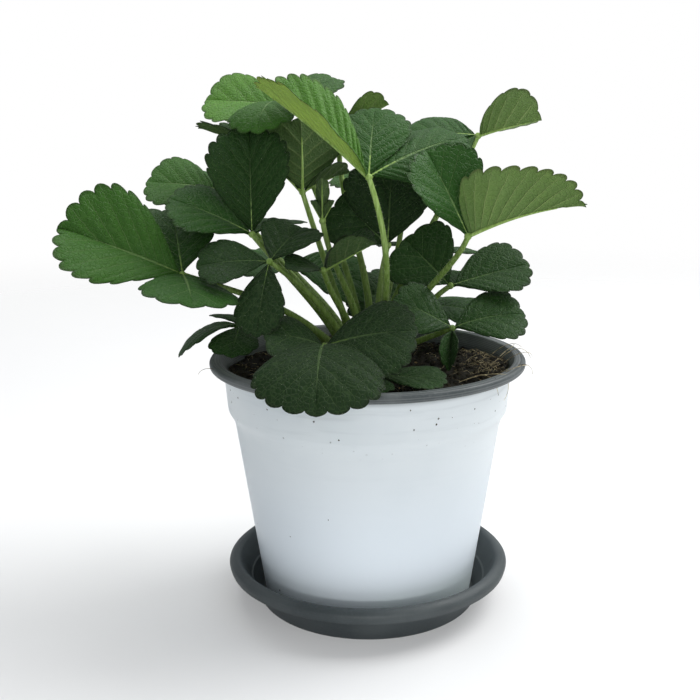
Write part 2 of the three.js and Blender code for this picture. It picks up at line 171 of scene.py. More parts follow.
def make_specks():
    group, take = shader_group("Specks", {"Scale": 60.0, "Size": 0.1, "Share": 0.2})
    place = place_of(group)
    warp = wire("ShaderNodeTexNoise", {"Vector": place, "Scale": 900.0}, "Color")
    where = vector("ADD", place, vector("SCALE", warp, scale=0.0009))
    cells = node(group, "ShaderNodeTexVoronoi", {"Vector": where, "Scale": take["Scale"]}).outputs
    chosen = node(group, "ShaderNodeSeparateColor", {"Color": cells["Color"]}).outputs
    dot = calc("LESS_THAN", cells["Distance"], times(take["Size"], plus(chosen["Green"], 0.25)))
    return giving(group, Mask=times(dot, calc("LESS_THAN", chosen["Red"], take["Share"])))


def make_grain():
    group, take = shader_group("Grain", {"Coarse": 300.0, "Fine": 2500.0, "Fine share": 0.4})
    coarse = noise(place_of(group), take["Coarse"], 4.0, 0.55)
    fine = noise(place_of(group), take["Fine"], 2.0, 0.6)
    return giving(group, Height=plus(coarse, times(fine, take["Fine share"])))


def make_leaf_veins():
    takes = {"Side width": 0.045, "Midrib width": 0.03, "Net scale": 420.0}
    group, take = shader_group("Leaf veins", takes)
    count, across, _ = parts_of(node(group, "ShaderNodeUVMap", uv_map="veins").outputs[0])
    wobble = ramp(noise(place_of(group), 160.0, 2.0), 0.3, 0.7, -0.035, 0.035)
    apart = calc("ABSOLUTE", calc("SUBTRACT", calc("FRACT", plus(count, wobble)), 0.5))
    width = times(take["Side width"], ramp(across, 0.0, 1.0, 1.15, 0.3, False))
    side = ramp(calc("DIVIDE", apart, width), 0.45, 1.5, 1.0, 0.0)
    side = times(side, ramp(across, 0.7, 1.0, 0.6, 0.2))
    middle = ramp(calc("DIVIDE", across, take["Midrib width"]), 0.5, 1.2, 1.0, 0.0)
    inputs = {"Vector": place_of(group), "Scale": take["Net scale"]}
    cells = wire("ShaderNodeTexVoronoi", inputs, "Distance", feature="DISTANCE_TO_EDGE")
    # Base is painted shade: 1 at the leaflet's base, fading out by the fourth side vein.
    return giving(
        group, Veins=calc("MAXIMUM", side, middle), Net=ramp(cells, 0.0, 0.16, 1.0, 0.0),
        Between=ramp(apart, 0.08, 0.5), Edge=ramp(across, 0.92, 1.0), Base=ramp(count, -1.0, 3.5, 1.0, 0.0))


GROUPS = {g.name: g for g in (make_mottling(), make_specks(), make_grain(), make_leaf_veins())}
print("shader groups:", ", ".join(GROUPS))


# %% Helpers that place a group in a material
def effect(tree, name, **values):
    made = node(tree, "ShaderNodeGroup", node_tree=GROUPS[name])
    for label, value in values.items():
        made.inputs[label.replace("_", " ")].default_value = value
    return made.outputs


def mottling(tree, scale, low, high):
    return effect(tree, "Mottling", Scale=scale, Low=low, High=high)["Mask"]


def specks(tree, scale, size, share):
    return effect(tree, "Specks", Scale=scale, Size=size, Share=share)["Mask"]


def grain(tree, coarse, fine, fine_share=0.4):
    return effect(tree, "Grain", Coarse=coarse, Fine=fine, Fine_share=fine_share)["Height"]


def streaks(tree, level, upright, low, high):
    """Noise drawn out: level and upright say how fine it is sideways and upwards."""
    drawn_out = wire("ShaderNodeMapping", {0: place_of(tree), 3: (level, level, upright)})
    return ramp(noise(drawn_out, 1.0), low, high)


def height_of(tree):
    return parts_of(place_of(tree))[2]


print("effect helpers ready")


# %% Helpers that start a material and end it
def material(name, colour, **constants):
    """A new material with plain values on its Principled BSDF."""
    made = bpy.data.materials.new(name)
    made.use_nodes = True
    made.diffuse_color = colour
    for label, value in constants.items():
        made.node_tree.nodes["Principled BSDF"].inputs[label.replace("_", " ")].default_value = value
    return made, made.node_tree


def feed(made, height=None, depth=0.0002, **sources):
    """Links colours and values to a material's shader, and a height through a Bump node."""
    if height is not None:
        sources["Normal"] = wire("ShaderNodeBump", {"Height": height, "Strength": 1.0, "Distance": depth})
    tree = made.node_tree
    for label, source in sources.items():
        tree.links.new(source, tree.nodes["Principled BSDF"].inputs[label.replace("_", " ")])
    return made


print("material helpers ready")

# %% [markdown]
# ## Helpers for meshes
#
# Sizes are in millimetres, as on a drawing, and a mesh is scaled to metres once, when it is made. A round
# piece is a profile turned about the pot's axis: the profile starts and ends on the axis, so it closes.


# %% Helpers that make objects
def add_object(name, data):
    made = bpy.data.objects.new(name, data)
    bpy.context.scene.collection.objects.link(made)
    return made


def piece_from(name, points, faces, materials, slots=None, smooth=60):
    """A new object from points in millimetres. Edges sharper than `smooth` degrees stay sharp."""
    mesh = bpy.data.meshes.new(name)
    mesh.from_pydata((np.asarray(points) * 0.001).tolist(), [], faces)
    for made in materials:
        mesh.materials.append(made)
    if slots is not None:
        mesh.polygons.foreach_set("material_index", np.asarray(slots, dtype=np.int32))
    mesh.polygons.foreach_set("use_smooth", np.ones(len(faces), dtype=bool))
    mesh.set_sharp_from_angle(angle=math.radians(smooth))
    return add_object(name, mesh)


def dress(piece, slot, *cad_nodes):
    """Ties a finished piece to the frame, and hides the CAD nodes that it stands for."""
    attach(piece, "root")
    if cad_nodes:
        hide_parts(*cad_nodes)
    print(piece.name, len(piece.data.polygons), "faces")
    return piece


def merged(meshes):
    """Points and faces of several meshes, as one mesh."""
    points, faces, total = [], [], 0
    for more, around in meshes:
        points.append(more)
        faces += [tuple(k + total for k in face) for face in around]
        total += len(more)
    return np.vstack(points), faces


print("object helpers ready")


# %% Helpers for turned shapes
def rounded(profile, steps=3):
    """Cuts every corner of a profile into a short curve. Each point is (radius, height, corner size)."""
    made = []
    for i, (r, z, size) in enumerate(profile):
        here = np.array([r, z])
        if size <= 0 or i in (0, len(profile) - 1):
            made.append(here)
            continue
        before, after = np.array(profile[i - 1][:2]), np.array(profile[i + 1][:2])
        first = here + (before - here) * min(0.45, size / np.linalg.norm(before - here))
        last = here + (after - here) * min(0.45, size / np.linalg.norm(after - here))
        for share in np.linspace(0, 1, steps + 1):
            made.append((1 - share) ** 2 * first + 2 * share * (1 - share) * here + share**2 * last)
    return np.array(made)


def turned(profile, sides=160):
    """Points and faces of a profile turned about +Z, and the row of the profile that each face is in."""
    angles = np.linspace(0, 2 * np.pi, sides, endpoint=False)
    on_axis = [r < 1e-6 for r, z in profile]
    points, first = [], []
    for (r, z), single in zip(profile, on_axis):
        first.append(len(points))
        points += [(0.0, 0.0, z)] if single else [(r * math.cos(a), r * math.sin(a), z) for a in angles]
    faces, rows = [], []
    for row in range(len(profile) - 1):
        a, b = first[row], first[row + 1]
        for i in range(sides):
            j = (i + 1) % sides
            if on_axis[row]:
                faces.append((a, b + j, b + i))
            elif on_axis[row + 1]:
                faces.append((a + i, a + j, b))
            else:
                faces.append((a + i, a + j, b + j, b + i))
            rows.append(row)
    return np.array(points), faces, np.array(rows)


print("turned shape helpers ready")

# %% [markdown]
# ## Plastic for the pot and the saucer
#
# The pot is moulded from two layers: white outside, dark grey inside and round the rim. Both are satin, with
# faint clouds of dust. The white carries a few crumbs of soil from potting, most of them near the rim, and
# faint smudges. Fine rings from the mould show on the dark plastic.


# %% Plastic finishes
RING_GAP = 0.0013  # between two moulded rings, in metres


def make_pot_white():
    made, tree = material("pot white", srgb(232, 238, 242), Roughness=0.38, Specular_IOR_Level=0.45)
    dust, height = mottling(tree, 14.0, 0.4, 0.75), height_of(tree)
    near_rim = ramp(height, 0.098, 0.128)
    # foot: mask for painted light, strongest at the bottom of the wall, in patches
    foot = times(ramp(height, 0.01, 0.036, 1.0, 0.0), ramp(dust, 0.0, 1.0, 0.2, 0.9))
    smudges = times(streaks(tree, 22.0, 300.0, 0.5, 0.75), plus(times(near_rim, 0.16), 0.03))
    crumbs = times(specks(tree, 210.0, 0.105, 0.8), near_rim)
    crumbs = calc("MAXIMUM", specks(tree, 150.0, 0.075, 0.15), crumbs)
    colour = coated(
        srgb(239, 246, 249), (dust, srgb(229, 238, 242)), (smudges, srgb(168, 178, 184)),
        # Painted bounced light: the lower wall is tinted bluer, and the foot is painted brighter where the
        # saucer shades it.
        (ramp(height, 0.045, 0.11, 1.0, 0.0), srgb(234, 243, 250)),  # the lower wall
        (foot, srgb(240, 255, 253)),
        # Painted shade: a grey band just under the rim, where the rim shades the wall.
        (ramp(height, 0.1288, 0.131, 0.0, 0.4), srgb(120, 124, 124)),  # just under the rim
        (crumbs, srgb(52, 44, 36)))
    bumps = plus(grain(tree, 90.0, 1800.0, 0.12), times(crumbs, 2.0))
    return feed(made, bumps, 0.00012, Base_Color=colour, Roughness=ramp(dust, 0.0, 1.0, 0.34, 0.48))


def make_dark_plastic(name, deep, pale, ring_share):
    """ring_share: how strongly the moulded rings show on the surface."""
    made, tree = material(name, deep, Roughness=0.45, Specular_IOR_Level=0.4)
    away = vector("LENGTH", vector("MULTIPLY", place_of(tree), (1, 1, 0)))
    waves = calc("SINE", times(plus(away, height_of(tree)), 2 * math.pi / RING_GAP))
    rings = times(ramp(waves, 0.1, 1.0), ring_share)
    dust = mottling(tree, 26.0, 0.35, 0.7)
    colour = coated(
        deep, (times(dust, 0.6), pale), (times(mottling(tree, 700.0, 0.45, 0.8), 0.25), pale), (rings, pale),
        (specks(tree, 160.0, 0.09, 0.25), srgb(42, 36, 30)))
    bumps = plus(grain(tree, 140.0, 2600.0, 0.3), times(rings, 0.8))
    return feed(made, bumps, 0.00012, Base_Color=colour, Roughness=ramp(dust, 0.0, 1.0, 0.42, 0.58))


POT_WHITE = make_pot_white()
POT_DARK = make_dark_plastic("pot dark", srgb(76, 83, 84), srgb(132, 136, 136), 0.5)
SAUCER_DARK = make_dark_plastic("saucer slate", srgb(58, 65, 67), srgb(88, 94, 95), 0.12)
print("plastic finishes ready")

# %% [markdown]
# ## The saucer
#
# A shallow dish pressed from one sheet, with a broad rolled lip and a small step inside where a pot's foot
# is kept off the water. The profile follows the CAD piece, with soft corners, as a pressed sheet has.

# %% Saucer
SAUCER_PROFILE = [
    (0, 0, 0), (60, 0, 0.6), (61, 1, 0.8), (68.5, 17.5, 0.5), (76.8, 17.2, 0.6), (78, 21.3, 1.5),
    (75.8, 23.6, 1.4), (73.4, 24.5, 1.2), (71.5, 23.5, 1.2), (69.3, 19.5, 1.5), (66.7, 14.5, 1.0),
    (65.6, 12.6, 0.4), (64.7, 12.3, 0.4), (63.9, 9.8, 1.0), (59.2, 2, 1.5), (0, 2, 0),
]
points, faces, _ = turned(rounded(SAUCER_PROFILE))
dress(piece_from("saucer_dish", points, faces, [SAUCER_DARK], smooth=40), "saucer", "saucer")

# %% [markdown]
# ## The pot
#
# A tapered pot in one piece: a foot ring, a plain wall, a faint shoulder below a slightly wider collar, and a
# flat rim that stands out from it. The colour changes at the underside of the rim, so the faces above that
# line take the dark plastic. Six drain holes are cut through the floor with a Boolean.

# %% Pot
POT_FLOOR = 2.3  # the pot's foot above the table
RIM_RADIUS = 78.5  # what is wider than this is rim
POT_PROFILE = [
    (0, 3, 0), (49.5, 3, 0.8), (50.5, 0, 0.6), (56, 0, 0.9), (57.5, 1.5, 1.5), (72.4, 102.5, 4.0),
    (75.6, 107.5, 1.2), (77.5, 130.5, 0.6), (83.6, 130.4, 0.4), (84.7, 131.2, 0.5), (85, 133.4, 0.9),
    (83.8, 135, 0.9), (82.2, 134.5, 0.4), (81.2, 134.9, 0.4), (79, 135, 0.9), (75.9, 129.5, 1.5),
    (74, 107.5, 2.0), (70.8, 102.5, 2.0), (55.9, 4.6, 1.5), (0, 4.6, 0),
]
profile = rounded(POT_PROFILE) + [0, POT_FLOOR]
points, faces, rows = turned(profile)
rim_starts = int(np.argmax(profile[:, 0] > RIM_RADIUS)) - 1
pot = piece_from("pot_body", points, faces, [POT_WHITE, POT_DARK], rows >= rim_starts, smooth=35)


def plain_mesh(piece, name):
    """The piece with its modifiers applied, as a new mesh with none."""
    bpy.context.view_layer.update()
    graph = bpy.context.evaluated_depsgraph_get()
    mesh = bpy.data.meshes.new_from_object(piece.evaluated_get(graph), depsgraph=graph)
    mesh.name = name
    piece.modifiers.clear()
    return mesh


def drill(piece, count=6, radius=2.5, ring=38):
    """Cuts a ring of round holes through the pot's floor."""
    plug, around, _ = turned([(0, 0), (radius, 0), (radius, 10), (0, 10)], 24)
    turns = [2 * math.pi * k / count for k in range(count)]
    plugs = [(plug + [ring * math.cos(turn), ring * math.sin(turn), 0], around) for turn in turns]
    cutter = piece_from("drain_cutter", *merged(plugs), [POT_WHITE])
    cut = piece.modifiers.new("drain holes", "BOOLEAN")
    cut.operation, cut.object, cut.solver = "DIFFERENCE", cutter, "EXACT"
    piece.data = plain_mesh(piece, "pot_body")
    bpy.data.objects.remove(cutter)


drill(pot)
dress(pot, "pot", "pot")

# %% [markdown]
# ## The soil
#
# Peat compost is a dark, uneven bed of crumbs with pale coir fibres through it. The bed is a turned shape
# whose top rows are lifted by slow waves and a little noise, with a low drift against the pot on the right.
# Crumbs and fibres are scattered on it later.


# %% Soil finish
def make_soil(name, deep, pale, size=1.0):
    made, tree = material(name, deep, Roughness=0.95, Specular_IOR_Level=0.2)
    clouds = mottling(tree, 60.0 * size, 0.35, 0.7)
    colour = coated(
        deep, (clouds, pale), (times(mottling(tree, 520.0 * size, 0.4, 0.7), 0.55), srgb(24, 21, 17)),
        (specks(tree, 300.0 * size, 0.22, 0.12), srgb(138, 118, 82)))
    bumps = grain(tree, 260.0 * size, 1100.0 * size, 0.7)
    return feed(made, bumps, 0.0015, Base_Color=colour, Roughness=ramp(clouds, 0.0, 1.0, 0.98, 0.8))


PEAT = make_soil("peat", srgb(32, 31, 26), srgb(54, 51, 41))
CRUMB = make_soil("peat crumb", srgb(29, 28, 23), srgb(78, 72, 56), 2.0)
print("soil finishes:", PEAT.name, "and", CRUMB.name)

# %% Soil bed
SOIL_LEVEL, SOIL_MOUND, SOIL_RADIUS = 128.5, 4.0, 77.5
FULL_TURN = 6.28  # for random headings


def soil_height(x, y):
    lumps = (np.sin(x / 6.1 + 1.3) * np.cos(y / 7.3) + 0.6 * np.sin(x / 3.1 - y / 4.3 + 0.7)) / 1.6
    far = np.hypot(x, y) / SOIL_RADIUS
    drift = 4.2 * np.clip(x / SOIL_RADIUS, 0, 1) ** 3 * np.exp(-(((y + 12) / 36) ** 2))
    return SOIL_LEVEL + SOIL_MOUND * (1 - far * far) + 1.6 * lumps + drift


def crumbly(x, y, draw):
    """Small unevenness from many crossed waves with random headings."""
    total = np.zeros_like(x)
    for _ in range(14):
        turn, length, phase = draw.uniform(0, FULL_TURN), draw.uniform(3.0, 9.0), draw.uniform(0, FULL_TURN)
        along = x * math.cos(turn) + y * math.sin(turn)
        total += np.sin(along * FULL_TURN / length + phase) * length / 9
    return 0.16 * total


INSIDE_POT = [(0, 7.2), (54.5, 7.2), (70.5, 104.6), (73.7, 109.8), (75.35, 128.0)]  # the wall, less a gap
TOP_RINGS = np.linspace(74.9, 0, 44)
points, faces, _ = turned(INSIDE_POT + [(r, SOIL_LEVEL) for r in TOP_RINGS], 144)
is_top = points[:, 2] > SOIL_LEVEL - 0.3
x, y = points[is_top, 0], points[is_top, 1]
points[is_top, 2] = soil_height(x, y) + crumbly(x, y, np.random.default_rng(4))
soil = dress(piece_from("soil_bed", points, faces, [PEAT], smooth=80), "soil", "soil")

# %% [markdown]
# ## Scattering with Geometry Nodes
#
# Crumbs, fibres and hairs are small shapes in their hundreds. A Geometry Nodes tree spreads points over a
# surface, puts a shape on each, turns and scales it at random from a fixed seed, and makes the result real
# mesh. The inputs are set before the tree first runs, and the finished mesh is plain.


# %% Helpers for Geometry Nodes
def geometry_tree(name, **takes):
    """A new tree with a named input for each value, and one for the finish."""
    tree = bpy.data.node_groups.new(name, "GeometryNodeTree")
    sockets = tree.interface
    sockets.new_socket("Geometry", in_out="INPUT", socket_type="NodeSocketGeometry")
    for label, value in takes.items():
        kind = "NodeSocketInt" if isinstance(value, int) else "NodeSocketFloat"
        sockets.new_socket(label, in_out="INPUT", socket_type=kind).default_value = value
    sockets.new_socket("Finish", in_out="INPUT", socket_type="NodeSocketMaterial")
    sockets.new_socket("Geometry", in_out="OUTPUT", socket_type="NodeSocketGeometry")
    return tree, node(tree, "NodeGroupInput").outputs


def random_value(tree, low, high, seed):
    """A random number, or a random vector if low is one, for each point."""
    plain = isinstance(low, (int, float))
    kind, first, out = ("FLOAT", 2, 1) if plain else ("FLOAT_VECTOR", 0, 0)
    inputs = {"Seed": seed, first: low, first + 1: high}
    return node(tree, "FunctionNodeRandomValue", inputs, data_type=kind).outputs[out]


def spread_points(tree, take, **inputs):
    """Points on the faces of the tree's own geometry."""
    own = {"Mesh": take["Geometry"], "Density": take["Density"], "Seed": take["Seed"]}
    return node(tree, "GeometryNodeDistributePointsOnFaces", {**own, **inputs}).outputs


def place_on(points, shape, rotation, scale):
    inputs = {"Points": points, "Instance": shape, "Rotation": rotation, "Scale": scale}
    return wire("GeometryNodeInstanceOnPoints", inputs)


def rotation_from(angles):
    return wire("FunctionNodeEulerToRotation", {0: angles})


def faces_up(tree):
    """1 where the surface faces upwards, so that nothing lies on the soil's sides."""
    return calc("GREATER_THAN", parts_of(node(tree, "GeometryNodeInputNormal").outputs[0])[2], 0.4)


def realised(geometry):
    return wire("GeometryNodeRealizeInstances", {"Geometry": geometry})


def sweep(curve, sides, radius):
    """A closed tube along a curve."""
    inputs = {"Resolution": sides, "Radius": 1.0}
    section = node(curve.id_data, "GeometryNodeCurvePrimitiveCircle", inputs).outputs[0]
    inputs = {"Curve": curve, "Profile Curve": section, "Scale": radius, "Fill Caps": True}
    return wire("GeometryNodeCurveToMesh", inputs)


def finish_tree(geometry, take):
    """Ends a tree with real mesh, in the finish that it takes."""
    inputs = {"Geometry": realised(geometry), "Material": take["Finish"]}
    node(geometry.id_data, "NodeGroupOutput", {"Geometry": wire("GeometryNodeSetMaterial", inputs)})


def run_tree(tree, source, name, **values):
    """Runs a tree on source's data, through a passing object, and returns the result as a new plain object.
    """
    work = add_object(name + "_work", source)
    modifier = work.modifiers.new(tree.name, "NODES")
    modifier.node_group = tree
    for item in tree.interface.items_tree:
        if item.in_out == "INPUT" and item.name in values:
            modifier[item.identifier] = values[item.name]
    made = add_object(name, plain_mesh(work, name))
    bpy.data.objects.remove(work)
    return made


print("Geometry Nodes helpers ready")


# %% Tree that scatters crumbs
def make_crumb_tree():
    tree, take = geometry_tree(
        "Scatter crumbs", Density=100000.0, Smallest=0.0003, Largest=0.0014, Seed=1)
    points = spread_points(tree, take, Selection=faces_up(tree))["Points"]
    ball = node(tree, "GeometryNodeMeshIcoSphere", {"Radius": 1.0, "Subdivisions": 1}).outputs["Mesh"]
    share = calc("POWER", random_value(tree, 0.0, 1.0, take["Seed"]), 3.0)
    size = plus(take["Smallest"], times(share, calc("SUBTRACT", take["Largest"], take["Smallest"])))
    shape = random_value(tree, (0.6, 0.6, 0.45), (1.2, 1.2, 0.9), 7)
    turn = rotation_from(random_value(tree, (0, 0, 0), (FULL_TURN, FULL_TURN, FULL_TURN), 11))
    placed = place_on(points, ball, turn, vector("SCALE", shape, scale=size))
    finish_tree(placed, take)
    return tree


crumbs = run_tree(make_crumb_tree(), soil.data, "soil_crumbs", Density=190000.0, Smallest=0.00035,
                  Largest=0.0021, Seed=3, Finish=CRUMB)
dress(crumbs, "soil")


# %% [markdown]
# ## Coir fibres
#
# Coir is coconut husk: springy tan threads about a centimetre long. Each is an arc with a random bend, given
# thickness by sweeping a three-sided section along it. They lie thickest to the right of the plant.


# %% Fibre finish and tree
BED_RADIUS = 0.0715  # fibres start inside this, in metres


def make_fibre():
    made, tree = material("coir fibre", srgb(168, 148, 106), Roughness=0.7, Specular_IOR_Level=0.3)
    colour = coated(srgb(84, 74, 54), (mottling(tree, 320.0, 0.35, 0.65), srgb(216, 200, 156)))
    return feed(made, grain(tree, 900.0, 3000.0), 0.0001, Base_Color=colour)


FIBRE = make_fibre()


def make_fibre_tree():
    tree, take = geometry_tree(
        "Scatter fibres", Density=30000.0, Length=0.016, Thickness=0.00014, Seed=1)
    place = node(tree, "GeometryNodeInputPosition").outputs[0]
    away = vector("LENGTH", vector("MULTIPLY", place, (1, 1, 0)))
    inside = calc("LESS_THAN", away, BED_RADIUS)
    massed = times(take["Density"], ramp(parts_of(place)[0], 0.042, 0.066, 0.16, 1.6))
    chosen = times(inside, faces_up(tree))
    points = spread_points(tree, take, Selection=chosen, Density=massed)["Points"]
    inputs = {"Resolution": 7, "Start": (-0.5, 0, 0.0), "Middle": (0, 0.5, 0.2), "End": (0.5, 0, 0.05)}
    arc = node(tree, "GeometryNodeCurveQuadraticBezier", inputs).outputs[0]
    turn = rotation_from(random_value(tree, (-0.7, -0.45, 0), (0.7, 0.45, FULL_TURN), 5))
    size = times(take["Length"], random_value(tree, 0.35, 1.0, 8))
    laid = realised(place_on(points, arc, turn, size))
    curl = wire("ShaderNodeTexNoise", {"Vector": place, "Scale": 190.0}, "Color")
    curl = vector("SCALE", vector("SUBTRACT", curl, (0.5, 0.5, 0.5)), scale=0.006)
    bent = wire("GeometryNodeSetPosition", {"Geometry": laid, "Offset": curl})
    finish_tree(sweep(bent, 3, take["Thickness"]), take)
    return tree


fibres = run_tree(make_fibre_tree(), soil.data, "soil_fibres", Density=62000.0, Length=0.011,
                  Thickness=0.00009, Seed=6, Finish=FIBRE)
dress(fibres, "soil")

# %% [markdown]
# ## The leaves, as a table
#
# Each leaf is the same shape with its own numbers, as in the CAD source. `foot` is its place on the crown, in
# degrees round it and down from its top. `tip` is where the leaflets meet and `lean` the stalk's heading and
# rise there. `tone` runs from 0, a dark leaflet, to 1, a bright one: partly the leaflet's age, and partly
# painted shade and light, low for leaflets deep in the plant's shade. A leaflet has a heading, rise, roll,
# length, width, fold, arch and curl, and a few have a wider lobe on one side. `pitch` is the distance
# between two teeth.


# %% The table
CROWN_RADIUS, CROWN_RISE, CROWN_TOP = 16.0, 13.0, SOIL_LEVEL + SOIL_MOUND
PETIOLULE, TOOTHLESS, TOOTH_PITCH, TOOTH_DEPTH = 1.1, 0.13, 6.5, 0.0074


def leaf(foot, tip, lean, tone, *leaflets, pitch=TOOTH_PITCH):
    return {"foot": foot, "tip": tip, "lean": lean, "tone": tone, "leaflets": leaflets, "pitch": pitch}


LEAVES = {
    "front_tall": leaf((-60, 38), (1, -34, 234), (130, 62), (0.84, 0.42, 0.5),
        (159, 41, 5, 73, 48, 38, 10, 0, -1.5), (16, 30, -40, 58, 50, -6, 30, -14),
        (84, 56, 0, 46, 38, 4, 22, -10)),
    "far_left": leaf((188, 66), (-94, -25, 185), (190, 20), (0.6, 0.52, 0.3),
        (189, 25, 51, 64, 60, 26, 8, -6), (-72, -4, 9, 40, 48, 6, 20, -8),
        (107, 47, 1, 45, 44, 14, 14, 0), pitch=8.2),
    "upper_left": leaf((170, 52), (-60, -6, 203), (170, 50), (0.18, 0.45, 0.4),
        (100, 85, 12, 54, 46, 24, 8, 0), (184, 30, 26, 46, 46, 10, 14, -8), (50, 22, 0, 32, 32, 12, 30, -10)),
    "left_back": leaf((150, 60), (-81, 26, 224), (178, 52), (0.6, 0.4, 0.5),
        (178, 9, 32, 40, 44, 12, 8, -6), (262, -30, 0, 20, 22, 10, 20, -8),
        (100, 20, -10, 46, 44, 12, 30, -10)),
    "left_high": leaf((140, 40), (-34, 5, 224), (150, 70), (0.3, 0.3, 0.3),
        (156, 45, -4, 70, 32, 24, 34, 0), (-80, 78, 0, 38, 44, 10, -34, 0), (20, 30, 20, 27, 32, 14, 20, 0)),
    "top_left": leaf((110, 34), (-44, 22, 268), (210, 72), (0.85, 0.6, 0.55),
        (174, 8, 34, 43, 46, 14, 8, -6), (-112, 22, -6, 42, 40, 6, 84, -10),
        (25, 34, -16, 35, 34, 10, 20, -6)),
    "top_middle": leaf((80, 30), (-15, 34, 255), (80, 74), (0.6, 0.55, 0.5),
        (8, 30, 16, 30, 28, 36, 6, 0), (-40, 6, -10, 30, 28, 14, 20, 0), (90, 10, 0, 26, 26, 20, 20, 0)),
    "top_right": leaf((40, 36), (60, 25, 252), (0, 66), (0.55, 0.5, 0.5),
        (0, 18, 30, 34, 46, 30, 10, -6, 1), (160, 8, 26, 48, 44, 10, 24, -10),
        (-150, -14, 0, 30, 30, 10, 40, -8)),
    "right_big": leaf((-6, 44), (49, -44, 206), (-84, 34), (0.55, 0.5, 0.45),
        (-4, 27, 48, 57, 34, 42, 30, 0, 5), (160, 64, 40, 46, 44, 20, 6, 0), (60, 30, 0, 34, 32, 16, 10, 0)),
    "right_middle": leaf((8, 68), (44.5, 0, 174.5), (-5, 34), (0.2, 0.2, 0.15),
        (6, 16, -29, 43, 42, 16, 4, -8), (162, 44, 66, 35, 42, 14, 10, -6), (58, 14, 0, 40, 38, 12, 30, -10)),
    "right_low": leaf((-34, 72), (44, -22, 156), (-20, 26), (0.2, 0.2, 0.2),
        (-2, 22, -30, 38, 40, 14, 28, -10), (194, 34, 50, 34, 32, 8, 20, -8),
        (-100, -44, 0, 24, 22, 66, 10, 0)),
    "front_low": leaf((-110, 70), (-21, -50, 153), (-105, 10), (0.04, 0.06, 0.08),
        (-93, 20, 0, 56, 62, 6, 92, -14), (-12, 20, -34, 46, 52, 6, 22, -12),
        (192, 24, 24, 30, 40, 8, 24, -12)),
    "centre_left": leaf((214, 48), (-49, -30, 192), (205, 36), (0.05, 0.15, 0.1),
        (-102, -44, -1, 41, 25, 10, 20, -6), (192, 6, 30, 36, 35, 12, 20, -8),
        (56, 35, -16, 33, 34, 14, 20, 0)),
    "centre": leaf((-150, 26), (-22, -26, 187), (-110, 60), (0.1, 0.1, 0.1),
        (-17, 29, -2, 31, 34, 34, 0, 0), (43, 46, 35, 21, 20, 24, 16, 0), (205, 14, 15, 20, 24, 14, 16, 0)),
    "centre_right": leaf((-40, 18), (11, -6, 197), (-20, 74), (0.08, 0.12, 0.2),
        (65, 85, -6, 43, 50, 10, 10, 0), (165, 43, 75, 36, 40, 10, 10, 0), (119, 8, 3, 28, 28, 8, 12, 0)),
    "low_left": leaf((168, 72), (-67, -10, 155), (182, 24), (0.3, 0.2, 0.2),
        (184, 8, 0, 38, 36, 6, 66, -8), (-96, -16, 0, 26, 26, 12, 20, -8), (96, 10, 0, 36, 34, 12, 30, -8)),
    "right_back": leaf((40, 62), (40, 44, 186), (45, 40), (0.3, 0.3, 0.3),
        (25, 2, -1, 31, 30, 8, 12, -4), (132, 17, 1, 38, 38, 12, 30, -10), (267, 16, -3, 19, 20, 12, 20, -8)),
    "soil_front": leaf((-72, 70), (4, -52, 138), (-75, 4), (0.15, 0.2, 0.15),
        (-12, 5, -7, 35, 30, 10, 14, -6), (-100, -2, 1, 24, 24, 10, 10, -4), (176, 7, 1, 29, 24, 10, 10, -4)),
    "back_left": leaf((125, 66), (-46, 56, 178), (128, 30), (0.4, 0.4, 0.4),
        (128, 20, 0, 52, 50, 12, 40, -10), (222, 14, 12, 44, 42, 10, 26, -10),
        (5, -8, -30, 50, 48, 10, 20, -8)),
    "back_high": leaf((65, 48), (22, 58, 222), (84, 62), (0.6, 0.55, 0.55),
        (76, 24, 0, 54, 50, 12, 46, -10), (168, 20, 12, 44, 42, 10, 30, -10),
        (-14, 20, -12, 42, 40, 10, 30, -10)),
    "back_low": leaf((72, 70), (34, 58, 152), (60, 20), (0.25, 0.25, 0.25),
        (64, 14, 0, 48, 46, 10, 44, -10), (172, 16, 35, 46, 46, 10, 20, -8),
        (-28, 10, -10, 38, 38, 10, 26, -10)),
    "young": leaf((150, 14), (-23, -8, 210), (160, 80), (0.25, 0.2, 0.2),
        (-90, 84, 0, 22, 13, 60, 0, 0), (178, 60, 0, 12, 9, 50, 0, 0), (4, 60, 0, 12, 9, 50, 0, 0)),
}
print(len(LEAVES), "leaves")

# %% [markdown]
# ## Stalks
#
# A petiole is a pale green rod that leaves the crown steeply and bends over to its leaf. Geometry Nodes
# sweeps a ring along a curve, with a radius that thins from root to tip and flares into a sheath at the root.
# Streaks along it come from stretched noise. It is painted darker downwards, as shade deep in the plant, with
# a blush of brown at the root.


# %% Stalk finish
def make_stalk():
    made, tree = material(
        "petiole green", srgb(138, 166, 88), Roughness=0.5, Specular_IOR_Level=0.35,
        Subsurface_Weight=0.12, Subsurface_Radius=(0.002, 0.003, 0.001))
    lines = streaks(tree, 900.0, 60.0, 0.35, 0.68)
    clouds, height = times(mottling(tree, 40.0, 0.3, 0.7), 0.4), height_of(tree)
    colour = coated(srgb(142, 176, 82), (lines, srgb(192, 222, 136)), (clouds, srgb(158, 194, 96)))
    # Painted shade: the stalk darkens downwards, into the shade among the leaves.
    colour = tinted(colour, (ramp(height, 0.17, 0.228, 1.0, 0.0), 0.38, 0.42, 0.3))
    colour = coated(colour, (ramp(height, 0.132, 0.15, 0.7, 0.0), srgb(104, 84, 60)))
    return feed(made, lines, 0.0002, Base_Color=colour, Roughness=ramp(lines, 0.0, 1.0, 0.45, 0.6))


STALK = make_stalk()
print("stalk finish:", len(STALK.node_tree.nodes), "nodes")


